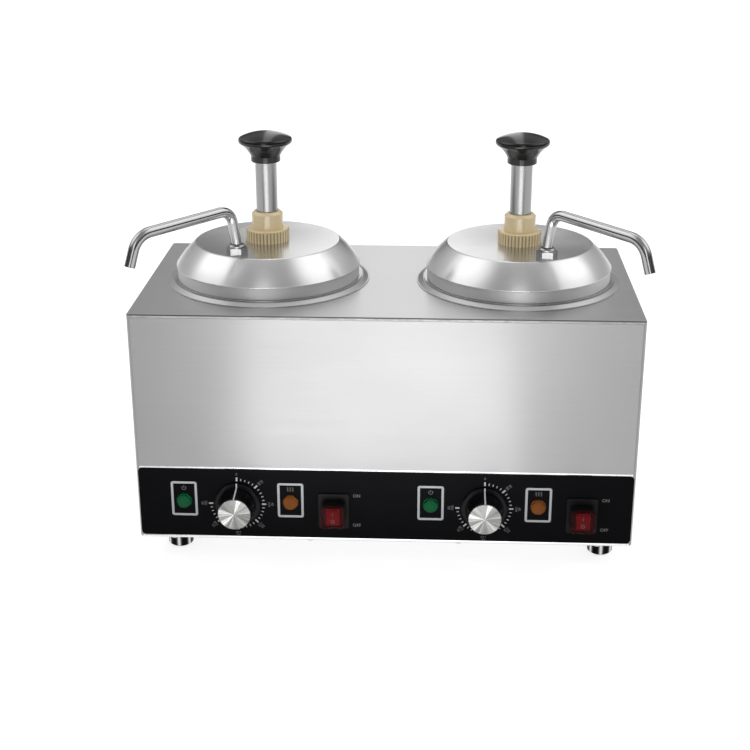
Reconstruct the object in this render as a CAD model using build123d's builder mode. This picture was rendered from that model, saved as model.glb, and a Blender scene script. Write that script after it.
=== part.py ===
"""Two-station heated topping dispenser: a stainless casing with two round wells, each holding a lift-out pot,
a shouldered lid with a plunger pump and a bent discharge spout, and a black control fascia along the foot.

Millimetres. +Z is up, +X to the right of someone facing the controls, +Y to the back.
The origin is on the floor, under the middle of the casing.
"""

import os
from math import atan2, cos, hypot, pi, radians, sin, sqrt, tan

from build123d import *

os.makedirs("parts", exist_ok=True)

SIDES = {"left": -1, "right": 1}

# ---------------------------------------------------------------- clearances
REST_GAP = 0.2  # between a lifted piece and what it stands on
SLIDE_GAP = 0.3  # radial, between loosely guided pieces
RUN_GAP = 0.1  # radial, between a shaft and its bore
SLIP = 0.05  # radial, where one piece is pushed into another for good

# ---------------------------------------------------------------- wells, in plan
POT_R = 80.0  # outside of the pot's wall
WATER_GAP = 5.7  # hot water between the pot's wall and the well's
WELL_SHEET = 0.8
WELL_R = POT_R + WATER_GAP + WELL_SHEET  # outside of the well's wall
WELL_RING_W = 10.5  # ring by which the well hangs on the deck
WELL_RING_R = WELL_R + WELL_RING_W
WELL_RING_FOOT = 1.5  # flat outer edge lying on the deck
WELL_RING_SLOPE = 4.5
WELL_HOLE_GAP = 1.0

# ---------------------------------------------------------------- casing
STATION_GAP = 46.0  # deck between the two wells' rings
STATION_OFFSET = 3.5  # middle between the wells, right of the casing's middle
END_MARGIN = 14.7  # deck beyond the rings at each end, before that offset
FRONT_MARGIN = 21.0  # and at the front and the back
STATION_PITCH = 2 * WELL_RING_R + STATION_GAP
CASE_W = STATION_PITCH + 2 * (WELL_RING_R + END_MARGIN)
CASE_D = 2 * (WELL_RING_R + FRONT_MARGIN)
WELL_DEPTH = 159.8
UNDER_WELLS = 63.2  # room for the heaters and leads, down to the underside of the base
CASE_H = WELL_DEPTH + UNDER_WELLS  # underside of the base to the top of the deck
FOOT_H = 20.0
CASE_TOP = FOOT_H + CASE_H
SHEET = 1.0  # casing and base sheet
DECK_SHEET = 1.2
DECK_LIP = 3.0
CORNER_R = 3.0
EDGE_R = 0.8  # bend at the casing's top and bottom rims
RIM_FLANGE = 12.0  # casing flange turned inwards at the top and bottom
BASE_INSET = 1.0

SHELL_BOTTOM = FOOT_H + SHEET
SHELL_TOP = CASE_TOP - DECK_LIP
FRONT = -CASE_D / 2
BACK = CASE_D / 2

# ---------------------------------------------------------------- wells, in height
WELL_BOTTOM = CASE_TOP - WELL_DEPTH
WELL_RING_H = 2.7  # underside of the ring's land above the deck
WELL_CORNER_R = 8.0
WELL_FOOT_BEND_R = 0.5
WELL_SLOPE_BEND_R = 1.0
WELL_MOUTH_BEND_R = 0.6
STUD_R = 3.0
STUD_L = 17.0

# ---------------------------------------------------------------- pots
POT_SHEET = 0.8
POT_RIM_LAP = 3.5  # rim beyond the well's wall, lying on the ring
POT_RIM_R = WELL_R + POT_RIM_LAP
POT_RIM_Z = CASE_TOP + WELL_RING_H + WELL_SHEET + REST_GAP  # underside of the rim
POT_STEP_H = 2.5
POT_FLOOR_GAP = 13.0  # between the undersides of the well's floor and the pot's
POT_BOTTOM = WELL_BOTTOM + POT_FLOOR_GAP
POT_CORNER_R = 7.0
POT_STEP_BENDS = (0.4, 1.1, 0.6)  # inner, outer and mouth bend of the step

# ---------------------------------------------------------------- lids
LID_SHEET = 0.9
LID_RISE = 38.0
LID_TOP = CASE_TOP + LID_RISE
LID_SEAT = 2.8  # pot's rim beyond the lid's skirt
LID_SKIRT_R = POT_RIM_R - LID_SEAT
LID_BEAD = 0.8  # shoulder's lower edge beyond the skirt
LID_SHOULDER_R = LID_SKIRT_R + LID_BEAD
LID_SHOULDER_W = 18.5
LID_CREASE_R = LID_SHOULDER_R - LID_SHOULDER_W
LID_CREASE_DROP = 0.6
LID_BAND_H = 16.3
LID_SHOULDER_Z = CASE_TOP + LID_BAND_H
LID_SHOULDER_BULGE = 1.1  # how far the shoulder stands proud of a straight cone
LID_FOOT = POT_RIM_Z + POT_SHEET + REST_GAP
POT_STEP_R = LID_SKIRT_R - LID_SHEET - SLIDE_GAP - POT_SHEET  # underside of the step that centres the lid

# ---------------------------------------------------------------- pump
STROKE = 40.0
PLUNGER_R = 10.0
PLUNGER_WALL = 1.2
PLUNGER_BORE_R = PLUNGER_R - PLUNGER_WALL

CYLINDER_BORE_R = 15.5
CYLINDER_WALL = 1.2
CYLINDER_R = CYLINDER_BORE_R + CYLINDER_WALL
CYLINDER_STAND = 38.8  # foot of the cylinder above the underside of the pot
CYLINDER_BOTTOM = POT_BOTTOM + CYLINDER_STAND
CYLINDER_FLANGE_W = 4.3
CYLINDER_FLANGE_R = CYLINDER_R + CYLINDER_FLANGE_W
CYLINDER_FLANGE_T = 2.0

COLLAR_WALL = 3.8
COLLAR_R = CYLINDER_R + COLLAR_WALL
COLLAR_H = 11.5
COLLAR_NECK_WALL = 4.8
COLLAR_NECK_R = PLUNGER_R + COLLAR_NECK_WALL
COLLAR_NECK_H = 28.4  # top of the neck above the lid
COLLAR_NECK_TOP = LID_TOP + COLLAR_NECK_H
COLLAR_CHAMFER = 2.4
COLLAR_BEVEL_W = 1.6
COLLAR_BEVEL_H = 1.0
COLLAR_FLUTES = 38
COLLAR_FLUTE_R = 0.9
COLLAR_FLUTE_OUT = 0.4  # flute's centre beyond the collar's face
COLLAR_ROOF = 2.0

PISTON_CLEAR = 24.0  # left under the piston at full stroke
PISTON_BOTTOM = CYLINDER_BOTTOM + PISTON_CLEAR + STROKE
PISTON_H = 8.0
PISTON_GROOVE_H = 3.0
PISTON_STEM_H = 12.0
SEAL_R = 1.25  # section of the piston's O-ring

BALL_R = 6.0
BALL_LIFT = 4.0
BALL_GAP = 1.0  # radial, in its chamber
VALVE_WALL = 1.8
VALVE_R = CYLINDER_R + VALVE_WALL
VALVE_SOCKET = 8.0  # depth of the socket that takes the cylinder
VALVE_GALLERY = 8.0  # height of the space under the cylinder
VALVE_FLOOR = CYLINDER_BOTTOM - VALVE_GALLERY  # the return spring stands on it
VALVE_ROOF_T = 4.6  # between that floor and the ball's chamber
VALVE_PORT_R = 4.5
VALVE_CHAMBER_R = BALL_R + BALL_GAP
BALL_PERCH = sqrt((BALL_R + RUN_GAP) ** 2 - VALVE_PORT_R**2)  # ball's centre above the edge of its port
VALVE_SEAT = VALVE_FLOOR - VALVE_ROOF_T - SLIDE_GAP - BALL_LIFT - BALL_R - BALL_PERCH
VALVE_FOOT_T = 3.0
VALVE_BOTTOM = VALVE_SEAT - VALVE_FOOT_T

SPRING_GAP = 3.5  # spring's centreline inside the cylinder's bore
SPRING_R = CYLINDER_BORE_R - SPRING_GAP
SPRING_WIRE_R = 0.8
SPRING_TURNS = 8

# ---------------------------------------------------------------- plunger knob, heights above its foot
KNOB_CLEAR = 7.4  # between knob and collar at full stroke
KNOB_BOTTOM = COLLAR_NECK_TOP + STROKE + KNOB_CLEAR
KNOB_SOCKET = 12.0
KNOB_NECK_WALL = 3.8
KNOB_NECK_R = PLUNGER_R + KNOB_NECK_WALL
KNOB_NECK_EDGE = 0.6
KNOB_NECK_H = 5.5
KNOB_FLARE_R = 17.2
KNOB_FLARE_H = 11.0
KNOB_UNDER_R = 23.7
KNOB_UNDER_H = 17.0
KNOB_RIM_R = 25.3
KNOB_RIM_H = 19.9
KNOB_BROW_R = 23.2
KNOB_BROW_H = 23.0
KNOB_H = 28.2

# ---------------------------------------------------------------- discharge
NUT_X = 22.5  # offset of the discharge nut from the pump's axis, outwards
NUT_Y = -52.0  # and to the front
NUT_FLATS = 17.0
NUT_H = 7.0
NUT_BEVEL_H = 5.0  # slope of the turned chamfer, over the nut's own width
NUT_NECK_H = 2.6
NUT_NECK_R = 7.8
NUT_NECK_EDGE = 1.2
NUT_ROOF = 1.0
SPOUT_R = 4.85
SPOUT_WALL = 1.0
SPOUT_BORE_R = SPOUT_R - SPOUT_WALL
SPOUT_TURN = 45.0  # the spout points this far to the front of straight outwards
SPOUT_LEAN = 10.0  # lean of the upright leg
SPOUT_FALL = 3.0  # fall of the long run
SPOUT_TIP_LEAN = 19.5
SPOUT_LEG_H = 34.6
SPOUT_RUN_L = 101.0
SPOUT_TIP_L = 28.4
SPOUT_FOOT_BEND_R = 12.0
SPOUT_KNEE_R = 13.0
SPOUT_NOSE_R = 20.0
SPOUT_DIP = 8.0  # how deep the spout's foot sits in the riser
SPOUT_ANKLE = 1.0  # first bend above the nut
SPOUT_FIT = 0.15  # radial, in the riser
RISER_WALL = 1.5
RISER_BORE_R = SPOUT_R + SPOUT_FIT
RISER_R = RISER_BORE_R + RISER_WALL
RISER_BEND_R = 14.0
RISER_COLLAR_W = 3.0
RISER_COLLAR_T = 1.6
RISER_TOP = LID_TOP + NUT_H - NUT_ROOF
RISER_STOP = 1.0  # riser's foot beyond the valve body's barrel
VALVE_BOSS_WALL = 1.5
VALVE_BOSS_L = 8.5
VALVE_BOSS_R = RISER_R + VALVE_BOSS_WALL
VALVE_BOSS_REACH = VALVE_R + VALVE_BOSS_L
PORT_Z = (VALVE_FLOOR + CYLINDER_BOTTOM) / 2

# ---------------------------------------------------------------- heater
HEATER_INSET = 31.5  # ring's centreline inside the well's wall
HEATER_RING_R = WELL_R - HEATER_INSET
HEATER_TUBE_R = 4.0
HEATER_GAP_DEG = 40.0  # open part of the ring, at the front
HEATER_BEND_R = 9.0
HEATER_TAIL = 8.0
HEATER_PIN_R = 1.6
HEATER_PIN_L = 7.0
CLAMP_W = 22.0
CLAMP_T = 2.0
CLAMP_OVERHANG = 4.0
CLAMP_CORNER_R = 4.0
CLAMP_L = 2 * (HEATER_RING_R + HEATER_TUBE_R + CLAMP_OVERHANG)
CLAMP_NUT_FLATS = 10.0
CLAMP_NUT_H = 5.0

# ---------------------------------------------------------------- control fascia
FASCIA_END = 1.8  # casing beyond the fascia at each end
FASCIA_W = CASE_W - 2 * FASCIA_END
FASCIA_RISE = 2.3  # above the casing's lower edge
FASCIA_H = 68.9
FASCIA_Z0 = SHELL_BOTTOM + FASCIA_RISE
FASCIA_Z1 = FASCIA_Z0 + FASCIA_H
FASCIA_T = 2.4
FASCIA_RECESS = 0.3  # face lies this far behind the casing's front
FASCIA_CORNER_R = 4.0
FASCIA_GAP = 0.3  # all round, in the casing's window
FASCIA_TONGUE = 8.0  # part that rises behind the casing sheet
FASCIA_FACE = FRONT + FASCIA_RECESS
FASCIA_BACK = FASCIA_FACE + FASCIA_T

GROUP_CLOSER = 9.0  # the dials stand this much closer together than the wells
GROUP_PITCH = STATION_PITCH - GROUP_CLOSER
GROUP_OFFSET = -22.3  # middle between the two dials
DIAL_RISE = 33.5
DIAL_Z = FASCIA_Z0 + DIAL_RISE
LAMP_OFFSET = 50.0  # each side of the dial
LAMP_RISE = 2.7
LAMP_Z = DIAL_Z + LAMP_RISE
SWITCH_OFFSET = 90.5
SWITCH_DROP = 5.0
SWITCH_Z = DIAL_Z - SWITCH_DROP

# ---------------------------------------------------------------- thermostat and its knob
THERMO_W = 34.0
THERMO_D = 26.0
THERMO_CORNER_R = 2.0
BUSHING_R = 5.0
BUSHING_STAND = 0.5  # bushing beyond the fascia's face
SHAFT_R = 3.0
SHAFT_L = 15.0
SHAFT_FLAT = 2.1
SHAFT_DEPTH = 8.6  # spindle inside the thermostat's case
DIAL_SKIRT_R = 21.5
DIAL_SKIRT_T = 2.8
DIAL_EDGE = 1.0
DIAL_GAP = 0.8
DIAL_GRIP_R = 17.8
DIAL_DEPTH = 23.3
DIAL_CAP_R = 15.0
DIAL_CAP_T = 0.9
DIAL_LIP = 0.6  # rim of the grip around the cap
DIAL_LIP_H = 0.4
BULB_R = 3.0
BULB_L = 70.0
BULB_RISE = 38.8
BULB_Z = WELL_BOTTOM + BULB_RISE
BULB_ANGLE = -30.0  # round the well, from straight inwards towards the front
CAPILLARY_R = 1.0
CAPILLARY_RISE = 4.5  # level run above the thermostat
CAPILLARY_TURN = 14.0  # where it leaves the level run, before the bulb
CAPILLARY_CLIMB = 12.0
CAPILLARY_BEND = 6.0
CAPILLARY_FIRST_BEND = 2.0
CLIP_T = 0.8
CLIP_H = 14.0
CLIP_EAR = 5.0

# ---------------------------------------------------------------- lamps
LENS_R = 6.4
LENS_DRAFT = 0.3
LENS_FLANGE_W = 0.8
LENS_FLANGE_R = LENS_R + LENS_FLANGE_W
LENS_FLANGE_T = 1.3
LENS_EDGE = 0.4
LENS_H = 5.6
LENS_DOME = 1.4
LAMP_NECK_IN = 0.5  # lamp's neck inside the lens
LAMP_BODY_R = LENS_R - LAMP_NECK_IN
LAMP_BODY_L = 20.0
LAMP_NUT_T = 2.0
LAMP_TAIL_IN = 1.0

# ---------------------------------------------------------------- rocker switch
ROCKER_W = 13.0
ROCKER_H = 15.0
ROCKER_FRONT = 15.6
ROCKER_BACK = 8.0
ROCKER_HEEL = 3.0  # where the key's back starts to narrow
ROCKER_HEEL_H = 10.0
ROCKER_VALLEY = 0.9
ROCKER_PIVOT = 9.5
ROCKER_PIN_R = 1.0
ROCKER_PIN_END = 1.5  # pin beyond the key, on each side
ROCKER_TILT = 6.0  # each way from level
CAVITY_SIDE = 0.3  # between the key and its housing
CAVITY_END = 0.9
CAVITY_FLOOR = 1.2
NECK_WALL = 3.5
NECK_W = ROCKER_W + 2 * (CAVITY_SIDE + NECK_WALL)
NECK_H = NECK_W
NECK_END = 12.4  # front of the neck from the fascia
NECK_R = 3.0
BEZEL_LAP = 4.0  # bezel beyond the neck, at its sides
BEZEL_W = NECK_W + 2 * BEZEL_LAP
BEZEL_H = 35.0
BEZEL_T = 2.2
BEZEL_R = 2.0
RIDGE_OUT = 1.0
RIDGE_T = 1.3
RIDGE_AT = (5.0, 8.4)
SWITCH_BODY_W = 22.0
SWITCH_BODY_H = 27.0
SWITCH_BODY_L = 20.0
COVER_LAP = 1.0  # cover beyond the neck
COVER_W = NECK_W + 2 * COVER_LAP
COVER_H = 22.0
COVER_END = 18.0
COVER_WALL = 1.1
COVER_R = 4.0
COVER_EDGE_R = 1.6

# ---------------------------------------------------------------- feet and screws
FOOT_R = 12.0
FOOT_INSET = 29.5
FOOT_WALL = 1.2
FOOT_LEDGE = 1.0  # cup's lower edge around the pad
FOOT_EDGE_R = 2.0
PAD_PROUD = 1.0
PAD_T = 6.0
SCREW_R = 2.0
SCREW_HEAD_R = 3.8
SCREW_HEAD_T = 2.4
SCREW_HEAD_EDGE = 0.8
SCREW_L = 8.0
END_SCREW_INSET = 31.7
MIDDLE_SCREW_X = 70.0
END_SCREW_X = CASE_W / 2 - END_SCREW_INSET
FLANGE_MIDDLE = SHEET + RIM_FLANGE / 2

# ---------------------------------------------------------------- base vents
VENT_W = 4.0
VENT_L = 46.0
VENT_PITCH = 10.0
VENT_COUNT = 7

# ---------------------------------------------------------------- supply inlet
GLAND_INSET = 81.7
GLAND_X = CASE_W / 2 - GLAND_INSET
GLAND_RISE = 27.0
GLAND_Z = SHELL_BOTTOM + GLAND_RISE
GLAND_THREAD_R = 9.2
GLAND_FLATS = 22.0
GLAND_HEX_T = 5.0
GLAND_REACH = 23.3
GLAND_DOME_R = 10.6
GLAND_NOSE_L = 5.0
GLAND_NOSE_W = 4.0
GLAND_NOSE_EDGE = 1.2
GLAND_BORE_R = 6.6
GLAND_INSIDE = 9.0
GLAND_NUT_T = 5.0
SEAL_BORE_R = 4.0
SEAL_L = 11.0
SEAL_LIP = 1.2

# ---------------------------------------------------------------- terminal block and wires
BLOCK_W = 56.0
BLOCK_D = 20.0
BLOCK_H = 17.0
BLOCK_INSET = 44.0
BLOCK_Y = BACK - BLOCK_INSET
BLOCK_WAYS = 5
BLOCK_WELL_R = 3.2
BLOCK_WELL_DEPTH = 4.2
BLOCK_ROW_PITCH = 10.0
BLOCK_SLOT_W = 1.2
BLOCK_SLOT_H = 5.7
BLOCK_MOUTH_H = 6.8
WIRE_R = 1.2
WIRE_BEND = 6.0
WIRE_END_BEND = 3.0
WIRE_FLOOR = SHELL_BOTTOM + WIRE_R + 1.0
LANE_OUT = 16.0  # leads run this far out of the block before they turn
LANE_SHIFT = 30.0
TAB_SPREAD = 5.0  # switch tabs, each side of its middle
TAB_RISE = 6.0  # and above and below it
TAB_LEAD = 14.0  # lead's last straight run behind a tab
THERMO_TAB = 8.0  # thermostat tabs, each side of its middle
THERMO_TAB_DROP = 3.0


# ================================================================ helpers
def dome_middle(edge_r, rise):
    """Point half-way out on a spherical dome: its radius, and how far it lies below the apex."""
    ball_r = (edge_r**2 + rise**2) / (2 * rise)
    return edge_r / 2, ball_r - sqrt(ball_r**2 - edge_r**2 / 4)


def station_x(side):
    return STATION_OFFSET + side * STATION_PITCH / 2


def dial_x(side):
    return GROUP_OFFSET + side * GROUP_PITCH / 2


def half_section(x, y=0.0):
    """Plane through a vertical axis: local x is the radius, local y the height above the floor."""
    return Plane(origin=(x, y, 0), x_dir=(1, 0, 0), z_dir=(0, -1, 0))


def upright(x, y=0.0):
    return Axis((x, y, 0), (0, 0, 1))


def front_plane(depth=0.0):
    """Plane on the fascia's face, or this far in front of it: local x is X and local y is Z."""
    return Plane(origin=(0, FASCIA_FACE - depth, 0), x_dir=(1, 0, 0), z_dir=(0, -1, 0))


def dial_section(x, z):
    """Plane through an axis that points to the front: local x is the distance out, local y the radius."""
    return Plane(origin=(x, FASCIA_FACE, z), x_dir=(0, -1, 0), z_dir=(1, 0, 0))


def forwards(x, z):
    return Axis((x, FASCIA_FACE, z), (0, -1, 0))


def tube_solid(points, radii, outer, bore=0.0):
    """A round tube or rod along straight runs joined by tangent arcs, as a free-standing solid."""
    with BuildPart(mode=Mode.PRIVATE) as tube:
        with BuildLine(mode=Mode.PRIVATE) as route:
            FilletPolyline(*points, radius=radii)
        path = route.wire()
        with BuildSketch(Plane(origin=path @ 0, z_dir=path % 0)):
            Circle(outer)
            if bore:
                Circle(bore, mode=Mode.SUBTRACT)
        sweep(path=path)
    return tube.part


def sheet_outline(corners, radii, thickness):
    """Draws the outline of bent sheet: the corners run along one face and the sheet lies to their right."""
    near = [Vector(*c) for c in corners]
    runs = [(b - a).normalized() for a, b in zip(near, near[1:])]
    rights = [Vector(r.Y, -r.X) for r in runs]
    far = [near[0] + rights[0] * thickness]
    far_radii = []
    for i in range(1, len(near) - 1):
        share = thickness / (1 + rights[i - 1].dot(rights[i]))
        far.append(near[i] + (rights[i - 1] + rights[i]) * share)
        turns_left = runs[i - 1].cross(runs[i]).Z > 0
        grown = radii[i - 1] + thickness if turns_left else radii[i - 1] - thickness
        far_radii.append(max(grown, thickness / 4))
    far.append(near[-1] + rights[-1] * thickness)
    one = FilletPolyline(*near, radius=radii)
    other = FilletPolyline(*far, radius=far_radii)
    Line(one @ 0, other @ 0)
    Line(one @ 1, other @ 1)


# ================================================================ casing
def make_deck():
    with BuildPart() as deck:
        with BuildSketch(Plane.XY.offset(SHELL_TOP)):
            RectangleRounded(CASE_W, CASE_D, CORNER_R)
        extrude(amount=DECK_LIP)
        fillet(deck.faces().sort_by(Axis.Z)[-1].edges(), DECK_SHEET)
        with BuildSketch(Plane.XY.offset(SHELL_TOP)):
            RectangleRounded(CASE_W - 2 * DECK_SHEET, CASE_D - 2 * DECK_SHEET, CORNER_R - DECK_SHEET)
        extrude(amount=DECK_LIP - DECK_SHEET, mode=Mode.SUBTRACT)
        with BuildSketch(Plane.XY.offset(SHELL_TOP)):
            with Locations(*[(station_x(s), 0) for s in SIDES.values()]):
                Circle(WELL_R + WELL_HOLE_GAP)
        extrude(amount=DECK_LIP, mode=Mode.SUBTRACT)
    deck.part.label = "top_deck"
    export_step(deck.part, "parts/top_deck.step")


def make_shell():
    inner = (CASE_W - 2 * SHEET, CASE_D - 2 * SHEET)
    opening = (inner[0] - 2 * RIM_FLANGE, inner[1] - 2 * RIM_FLANGE)
    with BuildPart() as shell:
        with BuildSketch(Plane.XY.offset(SHELL_BOTTOM)):
            RectangleRounded(CASE_W, CASE_D, CORNER_R)
        extrude(amount=SHELL_TOP - SHELL_BOTTOM)
        rims = shell.faces().filter_by(Axis.Z)
        fillet(rims.edges(), EDGE_R)
        with BuildSketch(Plane.XY.offset(SHELL_BOTTOM + SHEET)):
            RectangleRounded(*inner, CORNER_R - SHEET)
        extrude(amount=SHELL_TOP - SHELL_BOTTOM - 2 * SHEET, mode=Mode.SUBTRACT)
        with BuildSketch(Plane.XY.offset(SHELL_BOTTOM)):
            RectangleRounded(*opening, CORNER_R)
        extrude(amount=SHELL_TOP - SHELL_BOTTOM, mode=Mode.SUBTRACT)
        # window for the control fascia
        window_w = FASCIA_W + 2 * FASCIA_GAP
        window_h = FASCIA_Z1 - FASCIA_Z0 + 2 * FASCIA_GAP
        window_middle = (0, FRONT, (FASCIA_Z0 + FASCIA_Z1) / 2)
        with BuildSketch(Plane(origin=window_middle, x_dir=(1, 0, 0), z_dir=(0, -1, 0))):
            Rectangle(window_w, window_h)
            corners = vertices().group_by(Axis.Z)[-1]
            fillet(corners, FASCIA_CORNER_R + FASCIA_GAP)
        extrude(amount=-SHEET - CORNER_R, mode=Mode.SUBTRACT)
        # hole for the cable gland in the back wall
        with Locations(Plane(origin=(GLAND_X, BACK, GLAND_Z), z_dir=(0, 1, 0))):
            Hole(GLAND_THREAD_R + SLIP, depth=SHEET)
        # screw holes in the bottom flange
        with Locations(*base_screw_places(SHELL_BOTTOM + SHEET)):
            Hole(SCREW_R + SLIP, depth=SHEET)
    shell.part.label = "body_shell"
    export_step(shell.part, "parts/body_shell.step")


def base_screw_places(z):
    rows = (FRONT + FLANGE_MIDDLE, BACK - FLANGE_MIDDLE)
    columns = (-END_SCREW_X, -MIDDLE_SCREW_X, MIDDLE_SCREW_X, END_SCREW_X)
    return [(x, y, z) for x in columns for y in rows]


def foot_places(z=0.0):
    """The feet stand square about the two stations' middle."""
    x, y = CASE_W / 2 - FOOT_INSET, CASE_D / 2 - FOOT_INSET
    return [(STATION_OFFSET + sx * x, sy * y, z) for sx in (-1, 1) for sy in (-1, 1)]


def make_base():
    with BuildPart() as base:
        with BuildSketch(Plane.XY.offset(FOOT_H)):
            RectangleRounded(CASE_W - 2 * BASE_INSET, CASE_D - 2 * BASE_INSET, CORNER_R - BASE_INSET)
        extrude(amount=SHEET)
        with Locations(*base_screw_places(SHELL_BOTTOM), *foot_places(SHELL_BOTTOM)):
            Hole(SCREW_R + SLIP, depth=SHEET)
        with BuildSketch(Plane.XY.offset(FOOT_H)):
            with Locations(*[(station_x(s), 0) for s in SIDES.values()]):
                with GridLocations(VENT_PITCH, 1, VENT_COUNT, 1):
                    SlotOverall(VENT_L, VENT_W, rotation=90)
        extrude(amount=SHEET, mode=Mode.SUBTRACT)
    base.part.label = "base_plate"
    export_step(base.part, "parts/base_plate.step")


def make_feet():
    pad_r = FOOT_R - FOOT_WALL - FOOT_LEDGE
    with BuildPart() as cups:
        with Locations(*foot_places(PAD_PROUD)):
            Cylinder(FOOT_R, FOOT_H - PAD_PROUD, align=(Align.CENTER, Align.CENTER, Align.MIN))
        lower = cups.faces().filter_by(Axis.Z).group_by(Axis.Z)[0]
        fillet(lower.edges(), FOOT_EDGE_R)
        with Locations(*foot_places(PAD_PROUD)):
            Cylinder(
                pad_r,
                FOOT_H - PAD_PROUD - FOOT_WALL,
                align=(Align.CENTER, Align.CENTER, Align.MIN),
                mode=Mode.SUBTRACT,
            )
        with Locations(*foot_places(FOOT_H)):
            Hole(SCREW_R + SLIP, depth=FOOT_WALL)
    cups.part.label = "foot_cups"
    export_step(cups.part, "parts/foot_cups.step")

    with BuildPart() as pads:
        with Locations(*foot_places()):
            Cylinder(pad_r - SLIP, PAD_T, align=(Align.CENTER, Align.CENTER, Align.MIN))
        bottoms = pads.faces().filter_by(Axis.Z).group_by(Axis.Z)[0]
        fillet(bottoms.edges(), EDGE_R)
    pads.part.label = "foot_pads"
    export_step(pads.part, "parts/foot_pads.step")


def make_screws():
    """One kind of pan-head screw holds the base to the casing, and the feet to the base."""
    with BuildPart() as screws:
        for places, under_head in (
            (base_screw_places(0), FOOT_H),
            (foot_places(), FOOT_H - FOOT_WALL),
        ):
            with Locations(*[(x, y, under_head) for x, y, _ in places]):
                Cylinder(SCREW_R, SCREW_L, align=(Align.CENTER, Align.CENTER, Align.MIN))
                Cylinder(SCREW_HEAD_R, SCREW_HEAD_T, align=(Align.CENTER, Align.CENTER, Align.MAX))
        heads = screws.faces().filter_by(Axis.Z).filter_by(lambda f: f.normal_at().Z < 0)
        undersides = heads.filter_by(lambda f: f.area > 2 * pi * SCREW_R**2)
        fillet(undersides.edges(), SCREW_HEAD_EDGE)
    screws.part.label = "case_screws"
    export_step(screws.part, "parts/case_screws.step")


# ================================================================ wells and heaters
def make_wells():
    land = CASE_TOP + WELL_RING_H
    with BuildPart() as wells:
        for side in SIDES.values():
            x = station_x(side)
            with BuildSketch(half_section(x)):
                with BuildLine():
                    sheet_outline(
                        [
                            (WELL_RING_R, CASE_TOP),
                            (WELL_RING_R - WELL_RING_FOOT, CASE_TOP),
                            (WELL_RING_R - WELL_RING_FOOT - WELL_RING_SLOPE, land),
                            (WELL_R, land),
                            (WELL_R, WELL_BOTTOM),
                            (0, WELL_BOTTOM),
                        ],
                        [WELL_FOOT_BEND_R, WELL_SLOPE_BEND_R, WELL_MOUTH_BEND_R, WELL_CORNER_R],
                        WELL_SHEET,
                    )
                make_face()
            revolve(axis=upright(x))
            with Locations((x, 0, WELL_BOTTOM)):
                Cylinder(STUD_R, STUD_L, align=(Align.CENTER, Align.CENTER, Align.MAX))
    wells.part.label = "wells"
    export_step(wells.part, "parts/wells.step")


def heater_wire(x):
    """Centreline of a ring heater whose two ends turn down at the front."""
    z = WELL_BOTTOM - HEATER_TUBE_R - RUN_GAP
    with BuildLine(mode=Mode.PRIVATE) as route:
        ends = []
        for sign in (-1, 1):
            a = radians(-90 + sign * HEATER_GAP_DEG / 2)
            ring_end = Vector(x + HEATER_RING_R * cos(a), HEATER_RING_R * sin(a), z)
            inwards = Vector(sign * sin(a), -sign * cos(a), 0)  # along the ring, into its gap
            middle = (
                ring_end
                + inwards * HEATER_BEND_R * sin(radians(45))
                - Vector(0, 0, HEATER_BEND_R * (1 - cos(radians(45))))
            )
            bent = ring_end + inwards * HEATER_BEND_R - Vector(0, 0, HEATER_BEND_R)
            ends.append((ring_end, middle, bent, bent - Vector(0, 0, HEATER_TAIL)))
        left_end, right_end = ends
        Line(left_end[3], left_end[2])
        ThreePointArc(left_end[2], left_end[1], left_end[0])
        ThreePointArc(left_end[0], (x, HEATER_RING_R, z), right_end[0])
        ThreePointArc(right_end[0], right_end[1], right_end[2])
        Line(right_end[2], right_end[3])
    return route.wire()


def heater_pin_places(side):
    """Bottom ends of the heater's two tails."""
    wire = heater_wire(station_x(side))
    return [wire @ 0, wire @ 1]


def make_heaters():
    with BuildPart() as heaters:
        for side in SIDES.values():
            path = heater_wire(station_x(side))
            with BuildSketch(Plane(origin=path @ 0, z_dir=path % 0)):
                Circle(HEATER_TUBE_R)
            sweep(path=path)
            with Locations(*heater_pin_places(side)):
                Cylinder(HEATER_PIN_R, HEATER_PIN_L, align=(Align.CENTER, Align.CENTER, Align.MAX))
    heaters.part.label = "heaters"
    export_step(heaters.part, "parts/heaters.step")


def make_clamps():
    top = WELL_BOTTOM - 2 * HEATER_TUBE_R - 2 * RUN_GAP
    with BuildPart() as clamps:
        with Locations(*[(station_x(s), 0, top) for s in SIDES.values()]):
            Box(CLAMP_L, CLAMP_W, CLAMP_T, align=(Align.CENTER, Align.CENTER, Align.MAX))
            Hole(STUD_R + SLIP, depth=CLAMP_T)
        fillet(clamps.edges().filter_by(Axis.Z).group_by(SortBy.LENGTH)[0], CLAMP_CORNER_R)
    clamps.part.label = "heater_clamps"
    export_step(clamps.part, "parts/heater_clamps.step")

    with BuildPart() as nuts:
        with BuildSketch(Plane.XY.offset(top - CLAMP_T - CLAMP_NUT_H)):
            with Locations(*[(station_x(s), 0) for s in SIDES.values()]):
                RegularPolygon(CLAMP_NUT_FLATS / 2, 6, major_radius=False)
                Circle(STUD_R + SLIP, mode=Mode.SUBTRACT)
        extrude(amount=CLAMP_NUT_H)
    nuts.part.label = "clamp_nuts"
    export_step(nuts.part, "parts/clamp_nuts.step")


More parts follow.
